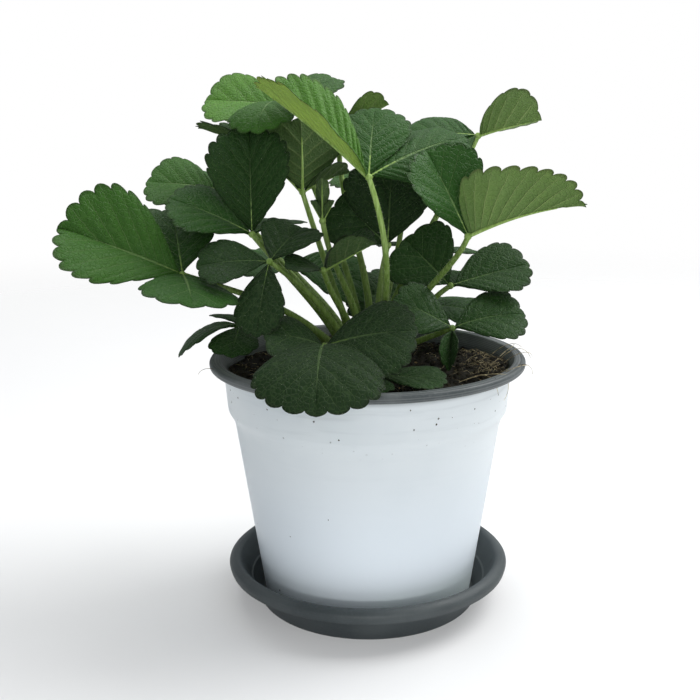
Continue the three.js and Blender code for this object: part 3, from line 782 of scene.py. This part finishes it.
# %% Tree that sweeps a tapering tube along a curve
def make_tube_tree():
    tree, take = geometry_tree(
        "Tapering tube", Points=30, Sides=10, Root=0.0023, Tip=0.00135, Taper=0.6, Flare=0.0)
    along = wire("GeometryNodeResampleCurve", {"Curve": take["Geometry"], "Count": take["Points"]})
    share = node(tree, "GeometryNodeSplineParameter").outputs["Factor"]
    thin = times(calc("SUBTRACT", take["Tip"], take["Root"]), calc("POWER", share, take["Taper"]))
    sheath = times(take["Flare"], calc("EXPONENT", times(share, -14.0)))
    tube = sweep(along, take["Sides"], plus(plus(take["Root"], thin), sheath))
    finish_tree(wire("GeometryNodeSetShadeSmooth", {"Geometry": tube}), take)
    return tree


TUBE = make_tube_tree()
print("tube tree:", len(TUBE.nodes), "nodes")


# %% Stalk curves
def direction(heading, rise):
    h, r = math.radians(heading), math.radians(rise)
    return np.array([math.cos(h) * math.cos(r), math.sin(h) * math.cos(r), math.sin(r)])


def crown_point(angle, down, lift):
    """A point on the crown's dome, or off it by lift."""
    a, d = math.radians(angle), math.radians(down)
    r, z = (CROWN_RADIUS + lift) * math.sin(d), (CROWN_RISE + lift) * math.cos(d)
    return np.array([r * math.cos(a), r * math.sin(a), CROWN_TOP + z])


def stalk_curve(numbers):
    """A Bezier curve from just inside the crown to just inside the knot of the leaf."""
    angle, down = numbers["foot"]
    foot, leave = crown_point(angle, down, -0.4), direction(angle, 90 - down * 0.62)
    arrive = direction(*numbers["lean"])
    tip = np.array(numbers["tip"], float) - arrive * 0.8
    reach = np.linalg.norm(tip - foot) * 0.38
    return [foot, foot + leave * reach, tip - arrive * reach, tip]


def bezier_data(name, strands):
    """Curve data with one Bezier arc for each list of four control points, in millimetres."""
    data = bpy.data.curves.new(name, "CURVE")
    data.dimensions = "3D"
    for a, b, c, d in (np.asarray(s, float) * 0.001 for s in strands):
        spline = data.splines.new("BEZIER")
        spline.bezier_points.add(1)
        spline.resolution_u = 24
        for point, here, left, right in zip(spline.bezier_points, (a, d), (2 * a - b, c), (b, 2 * d - c)):
            point.handle_left_type = point.handle_right_type = "FREE"
            point.co, point.handle_left, point.handle_right = here, left, right
    return data


print("front_tall leaves the crown at", stalk_curve(LEAVES["front_tall"])[0].round(1))


# %% Stalks
stalks = []
for name, numbers in LEAVES.items():
    line = bezier_data(name + "_line", [stalk_curve(numbers)])
    stalk = run_tree(TUBE, line, "petiole_" + name, Flare=0.0016, Finish=STALK)
    stalks.append(dress(stalk, "petiole", f"leaf_{name}_petiole"))

# %% [markdown]
# ## The crown
#
# The crown is a short woody dome, wrapped in the brown papery scales of old leaves. Little of it shows, so a
# turned dome with shallow ridges and a rough, streaked finish is enough.


# %% Crown
def make_crown_bark():
    made, tree = material("crown scale", srgb(104, 84, 52), Roughness=0.8, Specular_IOR_Level=0.25)
    lines = streaks(tree, 700.0, 120.0, 0.35, 0.65)
    green = times(mottling(tree, 120.0, 0.35, 0.7), 0.6)
    colour = coated(srgb(84, 62, 40), (lines, srgb(136, 116, 72)), (green, srgb(96, 104, 52)))
    return feed(made, lines, 0.0008, Base_Color=colour)


BARK = make_crown_bark()
dome = [(CROWN_RADIUS * math.cos(t), CROWN_TOP + CROWN_RISE * math.sin(t))
        for t in np.linspace(0, math.pi / 2, 12)[:-1]]
CROWN_FOOT = SOIL_LEVEL - 9  # down in the soil
foot = [(0, CROWN_FOOT), (CROWN_RADIUS, CROWN_FOOT)]
points, faces, _ = turned(foot + dome + [(0, CROWN_TOP + CROWN_RISE)], 64)
angle = np.arctan2(points[:, 1], points[:, 0])
points[:, :2] *= (1 + 0.02 * np.sin(7 * angle + points[:, 2]) + 0.012 * np.sin(17 * angle))[:, None]
dress(piece_from("crown_dome", points, faces, [BARK], smooth=80), "crown", "crown")

# %% [markdown]
# ## Leaf finishes
#
# A strawberry leaflet is deep green and slightly glossy above, and paler and greyer below. On both faces a
# pale midrib sends a straight side vein to each tooth, and a fine net joins them. The blade is painted darker
# towards its base, as shade, and it darkens along its very edge. The leaflet's own map places the veins, so
# they follow every bend, and `tone` shifts the green from dark to bright, partly with age and partly as
# painted shade and light.


# %% Leaf finishes
def make_leaf(name, greens, vein, vein_share, gloss, net_depth, width):
    """greens: dark, middle and bright, for a tone of 0, 0.5 and 1."""
    made, tree = material(
        name, greens[1], Roughness=gloss, Specular_IOR_Level=0.16, Sheen_Weight=0.03, Sheen_Roughness=0.45,
        Subsurface_Weight=0.08, Subsurface_Radius=(0.0012, 0.0024, 0.0006))
    tone = node(tree, "ShaderNodeAttribute", attribute_name="tone").outputs["Fac"]
    marks = effect(tree, "Leaf veins", Side_width=width, Midrib_width=0.035, Net_scale=430.0)
    clouds = mottling(tree, 45.0, 0.3, 0.72)
    shown = ramp(tone, 0.0, 0.6, 0.36 * vein_share, vein_share)
    # tone picks dark, middle or bright green: partly age, and partly painted shade and light.
    young, bright = (ramp(tone, low, low + 0.5, smooth=False) for low in (0.0, 0.5))
    colour = tinted(
        coated(greens[0], (young, greens[1]), (bright, greens[2])),
        (ramp(clouds, 0.0, 1.0, 0.0, 0.3), 1.25, 1.2, 1.0),
        (ramp(mottling(tree, 420.0, 0.35, 0.7), 0.0, 1.0, 0.0, 0.22), 0.75, 0.8, 0.75),
        (ramp(marks["Between"], 0.0, 1.0, 0.0, 0.18), 0.7, 0.78, 0.7),
        # Painted shade: the blade darker towards its base.
        (times(marks["Base"], 0.8), 0.55, 0.62, 0.52), (times(marks["Edge"], 0.75), 0.5, 0.42, 0.42))
    pale = coated(colour, (0.6, vein))
    colour = coated(colour, (times(marks["Net"], 0.1), pale), (times(marks["Veins"], shown), pale))
    sunk = plus(times(marks["Net"], -net_depth), times(marks["Veins"], -2.2 * net_depth))
    bumps = plus(sunk, times(noise(place_of(tree), 700.0), 0.5))
    rough = ramp(clouds, 0.0, 1.0, gloss - 0.05, gloss + 0.08)
    return feed(made, bumps, 0.00028, Base_Color=colour, Roughness=rough)


LEAF_UPPER = make_leaf("leaf upper face", (srgb(28, 49, 23), srgb(44, 87, 28), srgb(97, 146, 55)),
                       srgb(140, 172, 108), 0.85, 0.48, 0.8, 0.035)
LEAF_UNDER = make_leaf("leaf lower face", (srgb(52, 76, 42), srgb(101, 130, 76), srgb(190, 226, 104)),
                       srgb(178, 198, 128), 0.8, 0.6, -0.7, 0.08)
print("leaf finishes:", LEAF_UPPER.name, "and", LEAF_UNDER.name)

# %% [markdown]
# ## Leaflets
#
# A leaflet's surface follows a rule. `place` runs along the edge from base to tip and picks a side vein, and
# `across` runs along that vein from midrib to edge. The outline swells and closes, teeth are rounded bumps on
# it, and the flat shape is then folded along the midrib, arched towards the tip and curled at its edges. The
# formulas are those of the CAD piece, with finer teeth and more rows, and the quilting is added: the upper
# face swells between the veins.


# %% The rule
TINY = 1e-9  # keeps a division from meeting zero


def unit(vectors):
    return vectors / np.maximum(np.linalg.norm(vectors, axis=-1, keepdims=True), TINY)


def leaflet_axes(heading, rise, roll):
    along, level, turn = direction(heading, rise), direction(heading - 90, 0), math.radians(roll)
    right = level * math.cos(turn) + np.cross(level, along) * math.sin(turn)
    return along, right, np.cross(right, along)


def tooth_number(place, teeth):
    """Counts the teeth along the edge. It is below 0 on the plain stretch at the base."""
    return (place - TOOTHLESS) / (1 - TOOTHLESS) * (teeth + 0.5)


def leaflet_surface(base, row, side, place, across, teeth, pitch):
    """Points of the middle surface, in millimetres, for arrays of place and across."""
    heading, rise, roll, whole, width, fold, arch, curl = row[:8]
    along, right, up = leaflet_axes(heading, rise, roll)
    length, lobe = whole - PETIOLULE, max(0.0, side * (row[8] if len(row) > 8 else 0.0))
    wedge = 1.15 - 1.04 * (1 - place) ** 2.5 + lobe * (1 - place) ** 4
    half = width / 2 * np.sin(np.pi * place) * wedge
    reach = length * ((1 - np.cos(np.pi * place)) / 2) ** 0.8
    number = tooth_number(place, teeth)
    phase = (number - np.floor(number)) ** 1.15
    stand = length * pitch * TOOTH_DEPTH * (np.sin(np.pi * phase) ** 0.55 - 0.45)
    stand = np.where(number < 0, 0.0, stand) * across**4
    start = 0.86 * length * place**2.1
    outwards = np.arctan2(half, np.maximum(reach - start, 1e-6))
    away = half * across + stand * np.sin(outwards)
    ahead = start + (reach - start) * across + stand * np.cos(outwards)
    bend = math.radians(arch) / length
    turn = bend * ahead
    forward = ahead if abs(bend) < 1e-6 else np.sin(turn) / bend
    sunk = 0 * ahead if abs(bend) < 1e-6 else (1 - np.cos(turn)) / bend
    slope = np.radians(fold + curl * away / (width / 2))
    lift = up * np.cos(turn)[..., None] + along * np.sin(turn)[..., None]
    start_at = np.asarray(base, float) + along * PETIOLULE
    return (start_at + along * forward[..., None] - up * sunk[..., None]
            + right * (side * away * np.cos(slope))[..., None] + lift * (away * np.sin(slope))[..., None])


print("leaflet rule ready")


# %% Where the grid's rows and columns run, and how far a face swells there
ROUND_A_TOOTH = [0, 0.05, 0.15, 0.3, 0.46, 0.62, 0.78, 0.91, 0.97]
ACROSS = np.array([0, 0.05, 0.13, 0.23, 0.35, 0.47, 0.59, 0.7, 0.8, 0.88, 0.94, 1.0])
HALF_THICKNESS, VEIN_HEIGHT = 0.26, 0.32  # in millimetres
QUILT, RUFFLE, EDGE_DROP = 0.011, 0.009, 0.012  # shares of a leaflet's length


def leaflet_stations(teeth):
    """Places along the edge: a few before the teeth, then the same nine round each tooth."""
    pitch = (1 - TOOTHLESS) / (teeth + 0.5)
    plain = [TOOTHLESS * s for s in (0, 0.16, 0.34, 0.54, 0.76)]
    toothed = [TOOTHLESS + (k + f) * pitch for k in range(teeth) for f in ROUND_A_TOOTH]
    last = [TOOTHLESS + (teeth + f) * pitch for f in ROUND_A_TOOTH[:5]]
    return np.array(plain + toothed + last + [1.0])


def quilting(number, across, length):
    """How far the upper face swells between two side veins, in millimetres."""
    from_vein = np.abs(number - np.floor(number) - 0.5) * 2
    window = np.sin(np.pi * np.clip(0.04 + 0.84 * across, 0, 1)) ** 0.7
    near_base = np.clip((number + 1.2) / 1.2, 0, 1)
    return QUILT * length * (1 - (1 - from_vein) ** 2) * window * (0.35 + 0.65 * near_base)


def vein_ridge(number, across):
    """How far a side vein stands out of the lower face, in millimetres."""
    from_vein = np.abs(number - np.floor(number) - 0.5)
    return VEIN_HEIGHT * np.exp(-((from_vein / 0.07) ** 2)) * (1 - 0.8 * across)


def facing(grid):
    """Which way the surface faces at each point of a grid. The two ends take it from their neighbours."""
    up = np.cross(np.gradient(grid, axis=1), np.gradient(grid, axis=0))
    size = np.linalg.norm(up, axis=2, keepdims=True)
    up = np.where(size > TINY, up / np.maximum(size, TINY), 0)
    up[0], up[-1] = up[2].mean(0), up[-2].mean(0)
    return unit(up)


print("a leaflet with 10 teeth has", len(leaflet_stations(10)), "rows of", 2 * len(ACROSS) - 1, "points")


# %% The round midrib below
def tube_mesh(line, radius, sides=8):
    """A closed tube along a line of points."""
    aims, side, rings = unit(np.gradient(line, axis=0)), None, []
    angles = [2 * math.pi * s / sides for s in range(sides)]
    for centre, aim, reach in zip(line, aims, radius):
        side = np.cross(aim, [0.3, 0.2, 1.0]) if side is None else side
        side = unit(side - aim * np.dot(side, aim))
        other = np.cross(aim, side)
        rings += [centre + reach * (side * math.cos(a) + other * math.sin(a)) for a in angles]
    last = (len(line) - 1) * sides
    faces = [(k + s, k + t, k + t + sides, k + s + sides)
             for k in range(0, last, sides) for s, t in zip(range(sides), [*range(1, sides), 0])]
    return np.array(rings), faces + [tuple(range(sides - 1, -1, -1)), tuple(range(last, last + sides))]


def midrib(base, spine, up, whole):
    """The midrib's line from the knot along the underside, and its radius, which thins to the tip."""
    steps = np.linalg.norm(np.diff(spine, axis=0), axis=1)
    share = np.concatenate([[0], np.cumsum(steps)]) / max(steps.sum(), TINY)
    radius = 0.16 + 0.85 * (1 - share) ** 0.9 * min(1.0, whole / 45)
    line = np.vstack([np.asarray(base, float), spine - up * (0.15 * radius)[:, None]])
    keep = [0, 1, *range(3, len(line) - 1, 3), len(line) - 1]
    return line[keep], np.concatenate([[radius[0]], radius])[keep]


def plain_finish(faces, slot=2):
    """The stalk's slot and an empty map, for parts with no veins."""
    return [slot] * len(faces), [[(0.0, 0.0)] * len(face) for face in faces]


print("midrib helpers ready")


# %% A leaflet as a closed sheet
def sheet_corners(rows, wide):
    """Corners (row, column) of the faces of a grid whose first row is one point."""
    for i in range(rows - 1):
        for j in range(wide - 1):
            yield ((i, j), (i, j + 1), (i + 1, j + 1), (i + 1, j)) if i else ((0, 0), (1, j + 1), (1, j))


def leaflet_parts(base, row, pitch, draw):
    """The sheet and the midrib, each as points, faces, and a slot and a map for every face."""
    length = row[3] - PETIOLULE
    teeth = max(3, math.floor(length / pitch + 0.5))
    place = leaflet_stations(teeth)
    signed = np.concatenate([-ACROSS[:0:-1], ACROSS])
    rows, wide, mid = len(place), len(signed), len(ACROSS) - 1
    grid = np.zeros((rows, wide, 3))
    for side, columns in ((-1, slice(0, mid + 1)), (1, slice(mid, None))):
        places, across = np.meshgrid(place, np.abs(signed[columns]), indexing="ij")
        grid[:, columns] = leaflet_surface(base, row, side, places, across, teeth, pitch)
    number = tooth_number(place, teeth)
    counts, spread = np.meshgrid(number, np.abs(signed), indexing="ij")
    up = facing(grid)
    phase = draw.uniform(0, FULL_TURN, 2)
    ruffle = np.where(signed > 0, np.sin(counts * 1.9 + phase[0]), np.sin(counts * 2.2 + phase[1]))
    swell = quilting(counts, spread, length)
    swell += RUFFLE * length * ruffle * spread**3 * np.clip(number / 2, 0, 1)[:, None]
    swell -= EDGE_DROP * length * spread**8
    thick = HALF_THICKNESS * (1 - 0.45 * spread**4)
    upper = grid + up * (swell + thick)[..., None]
    lower = grid + up * (swell - thick - vein_ridge(counts, spread))[..., None]

    ids = np.zeros((rows, wide), dtype=int)  # one point at the base, and mirrored ones shared at the tip
    ids[1:-1] = 1 + np.arange((rows - 2) * wide).reshape(rows - 2, wide)
    ids[-1] = 1 + (rows - 2) * wide + np.abs(np.arange(wide) - mid)
    _, first = np.unique(ids, return_index=True)
    points = np.vstack([upper.reshape(-1, 3)[first], lower.reshape(-1, 3)[first]])
    below, faces, slots, maps = len(first), [], [], []
    for corners in sheet_corners(rows, wide):
        face = [int(ids[c]) for c in corners]
        here = [(counts[c], spread[c]) for c in corners]
        if len(face) == 3:
            here[0] = (number[0], (here[1][1] + here[2][1]) / 2)
        faces += [tuple(face), tuple(k + below for k in reversed(face))]
        slots += [0, 1]
        maps += [here, here[::-1]]
    for i in range(rows - 1):
        a, b = int(ids[i, -1]), int(ids[i + 1, -1])
        c, d = int(ids[i, 0]), int(ids[i + 1, 0])
        faces += [(b, a, a + below, b + below), (c, d, d + below, c + below)]
        slots += [0, 0]
        maps += [[(number[i], 1.0)] * 4] * 2
    spine = grid[:, mid] - up[:, mid] * thick[:, mid][:, None]
    rib, around = tube_mesh(*midrib(base, spine, up[:, mid], row[3]))
    return [(points, faces, slots, maps), (rib, around, *plain_finish(around))]


print("leaflet builder ready")


# %% Leaf blades
def knot_mesh(centre, radius=1.9, sides=10, rings=6):
    """The small round knot where the three leaflets meet."""
    turns = np.linspace(0, math.pi, rings + 1)[1:-1]
    profile = [(radius * math.sin(t), -radius * math.cos(t)) for t in turns]
    points, faces, _ = turned([(0.0, -radius), *profile, (0.0, radius)], sides)
    return points + np.asarray(centre, float), faces


def build_blade(name, numbers):
    draw = np.random.default_rng(sum(ord(c) for c in name))
    parts, tones = [], []
    for row, tone in zip(numbers["leaflets"], numbers["tone"]):
        parts += leaflet_parts(numbers["tip"], row, numbers["pitch"], draw)
        tones += [tone, tone]
    knot, around = knot_mesh(numbers["tip"])
    parts.append((knot, around, *plain_finish(around)))
    points, faces = merged([part[:2] for part in parts])
    slots = [slot for part in parts for slot in part[2]]
    maps = [pair for part in parts for corners in part[3] for pair in corners]
    tones = np.concatenate([np.full(len(part[0]), tone) for part, tone in zip(parts, [*tones, 0.5])])
    piece = piece_from("blade_" + name, points, faces, [LEAF_UPPER, LEAF_UNDER, STALK], slots, 50)
    layer = piece.data.uv_layers.new(name="veins")
    layer.data.foreach_set("uv", np.array(maps, dtype=np.float32).ravel())
    field = piece.data.attributes.new("tone", "FLOAT", "POINT")
    field.data.foreach_set("value", tones.astype(np.float32))
    return piece


blades = [dress(build_blade(name, numbers), "leaf", f"leaf_{name}_blade") for name, numbers in LEAVES.items()]

# %% [markdown]
# ## Hairs
#
# Strawberry stalks and leaves carry fine silvery hairs, which catch the light along every edge. A tree
# spreads points over the surfaces and stands a thin three-sided spike on each, leaning at random.


# %% Hair finish and tree
def make_hair():
    made, tree = material("leaf hair", srgb(206, 216, 190), Roughness=0.5, Specular_IOR_Level=0.5)
    clouds = mottling(tree, 60.0, 0.3, 0.7)
    return feed(made, Base_Color=coated(srgb(180, 196, 158), (clouds, srgb(226, 232, 214))))


HAIR = make_hair()


def make_hair_tree():
    tree, take = geometry_tree(
        "Scatter hairs", Density=100000.0, Length=0.0011, Thickness=0.00003, Lean=0.6, Seed=1)
    spread = spread_points(tree, take)
    inputs = {"Vertices": 3, "Radius Top": 0.0, "Radius Bottom": take["Thickness"], "Depth": take["Length"]}
    spike = wire("GeometryNodeMeshCone", inputs, "Mesh")
    back = times(take["Lean"], -1.0)
    low = wire("ShaderNodeCombineXYZ", {0: back, 1: back})
    high = wire("ShaderNodeCombineXYZ", {0: take["Lean"], 1: take["Lean"], 2: FULL_TURN})
    inputs = {"Rotation": spread["Rotation"], "Rotate By": rotation_from(random_value(tree, low, high, 3))}
    turn = wire("FunctionNodeRotateRotation", inputs, rotation_space="LOCAL")
    placed = place_on(spread["Points"], spike, turn, random_value(tree, 0.4, 1.2, 9))
    finish_tree(placed, take)
    return tree


HAIRS = make_hair_tree()


def skin_of(pieces, name):
    """One mesh with copies of the pieces' faces, to scatter on."""
    meshes = []
    for mesh in (piece.data for piece in pieces):
        flat = np.empty(len(mesh.vertices) * 3, dtype=np.float32)
        mesh.vertices.foreach_get("co", flat)
        meshes.append((flat.reshape(-1, 3), [tuple(face.vertices) for face in mesh.polygons]))
    points, faces = merged(meshes)
    made = bpy.data.meshes.new(name)
    made.from_pydata(points.tolist(), [], faces)
    return made


stalk_hairs = run_tree(HAIRS, skin_of(stalks, "stalk_surfaces"), "petiole_hairs", Density=420000.0,
                       Length=0.0013, Thickness=0.00004, Lean=0.5, Seed=5, Finish=HAIR)
dress(stalk_hairs, "petiole")
leaf_hairs = run_tree(HAIRS, skin_of(blades, "leaf_surfaces"), "leaf_hairs", Density=60000.0,
                      Length=0.0009, Thickness=0.00003, Lean=0.8, Seed=8, Finish=HAIR)
dress(leaf_hairs, "leaf")

# %% [markdown]
# ## Stray fibres on the rim
#
# Ten threads of coir have come out with the compost: nine hang over the rim on the right and one on the
# left. They are swept with the same tree as the stalks, much thinner.

# %% Stray fibres
STRAYS = [  # four control points for each thread
    [(50, -40, 133), (58, -50, 141), (63, -52, 139), (65, -51, 128)],
    [(46, -44, 133), (56, -46, 138), (64, -48, 139), (72, -42, 136)],
    [(64, -44, 134), (72, -46, 139), (72, -42, 128), (70, -35, 121)],
    [(62, -40, 133), (72, -42, 140), (80, -34, 140), (84, -22, 136)],
    [(70, -24, 133), (78, -26, 139), (86, -24, 139), (87, -17, 130)],
    [(72, -8, 133), (80, -8, 141), (88, -6, 141), (89, -2, 136)],
    [(72, 4, 133), (80, 4, 141), (87, 8, 140), (89, 4, 134)],
    [(70, 18, 133), (78, 18, 140), (84, 22, 139), (86, 16, 137)],
    [(68, -2, 132), (78, 10, 140), (84, 16, 138), (82, 24, 137)],
    [(-74, -26, 133), (-80, -30, 138), (-85, -32, 138), (-87, -31, 134)],
]
strays = run_tree(TUBE, bezier_data("stray_lines", STRAYS), "rim_fibres", Points=16, Sides=4, Root=0.0002,
                  Tip=0.0001, Taper=1.0, Finish=FIBRE)
dress(strays, "soil")

# %% [markdown]
# ## The stage
#
# A plain pale floor and a white surround. A large soft light stands on the right, high up, with weaker ones
# in front and above, and a narrow beam lifts the shade at the pot's foot. Near the pot the floor lets a
# little of the white surround through, which lightens the shadows on it as painted light, and it lets more
# through further out, so that its far edge doesn't show. The camera stands a little above the rim and looks
# slightly down.


# %% Floor and surround
FLOOR_REACH = 2000.0  # from the pot to each edge, in millimetres


def make_floor():
    made, tree = material("stage floor", (0.86, 0.86, 0.87, 1), Roughness=0.9, Specular_IOR_Level=0.1)
    colour = coated((0.95, 0.95, 0.95, 1), (mottling(tree, 3.0, 0.3, 0.7), (0.97, 0.97, 0.97, 1)))
    # Painted light: near the pot the floor is only 0.78 opaque, so the white surround lifts its shadows;
    # further out it fades to clear.
    opaque = ramp(vector("LENGTH", place_of(tree)), 0.35, 1.6, 0.78, 0.0)
    return feed(made, Base_Color=colour, Alpha=opaque)


floor_corners = [(x * FLOOR_REACH, y * FLOOR_REACH, 0) for x, y in ((-1, -1), (1, -1), (1, 1), (-1, 1))]
floor = piece_from("stage_floor", floor_corners, [(0, 1, 2, 3)], [make_floor()])


def make_surround(seen, lighting):
    """A world that the camera sees as white, and that lights the scene less brightly."""
    world = bpy.data.worlds.new("pale surround")
    world.use_nodes = True
    tree = world.node_tree
    shown = node(tree, "ShaderNodeBackground", {"Color": (1, 1, 1, 1), "Strength": seen}).outputs[0]
    light = node(tree, "ShaderNodeBackground", {"Color": (0.92, 0.96, 1, 1), "Strength": lighting}).outputs[0]
    camera_ray = node(tree, "ShaderNodeLightPath").outputs["Is Camera Ray"]
    mix = node(tree, "ShaderNodeMixShader", {0: camera_ray, 1: light, 2: shown})
    tree.links.new(mix.outputs[0], tree.nodes["World Output"].inputs["Surface"])
    return world


bpy.context.scene.world = make_surround(1.0, 0.35)
print("floor:", 2 * FLOOR_REACH / 1000, "m wide")


# %% Lights
def add_light(kind, name, power, at, aim, **settings):
    """Places a light and turns it towards a point."""
    data = bpy.data.lights.new(name, kind)
    data.energy = power
    for label, value in settings.items():
        setattr(data, label, value)
    light = add_object(name, data)
    light.location = at
    light.rotation_euler = (Vector(aim) - Vector(at)).to_track_quat("-Z", "Y").to_euler()


PLANT, POT_FOOT = (0, 0, 0.15), (0, -0.06, 0.018)
add_light("AREA", "key", 19, (0.95, 0.35, 1.35), PLANT, shape="DISK", size=1.1)
add_light("AREA", "front", 5.6, (0.4, -1.5, 0.6), PLANT, shape="DISK", size=1.4)
add_light("AREA", "top", 12, (-0.1, 0.5, 1.7), PLANT, shape="DISK", size=1.5)
add_light("SPOT", "foot", 3.2, (0.05, -0.75, 0.16), POT_FOOT,
          shadow_soft_size=0.03, spot_size=math.radians(12), spot_blend=1.0)

# %% Camera
PITCH, YAW, ROLL = (math.radians(a) for a in (13.10, -0.97, -0.35))
ahead = np.array([math.sin(YAW) * math.cos(PITCH), math.cos(YAW) * math.cos(PITCH), -math.sin(PITCH)])
level = np.array([math.cos(YAW), -math.sin(YAW), 0.0])
upright = np.cross(level, ahead)
right = math.cos(ROLL) * level + math.sin(ROLL) * upright
upward = -math.sin(ROLL) * level + math.cos(ROLL) * upright
camera = add_object("camera", bpy.data.cameras.new("camera"))
camera.matrix_world = Matrix([[*right, 0], [*upward, 0], [*(-ahead), 0], [0, 0, 0, 1]]).transposed()
camera.location = (0.0, -0.548, 0.267)
camera.data.sensor_width, camera.data.lens = 36, 53.434
camera.data.clip_start = 0.01
bpy.context.scene.camera = camera
bpy.context.scene.view_settings.view_transform = "Standard"
print("camera at", [round(c, 3) for c in camera.location])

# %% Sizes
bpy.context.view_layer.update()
shown = [o for o in bpy.data.objects if o.type == "MESH" and not o.hide_render]
print("faces in all:", sum(len(o.data.polygons) for o in shown))
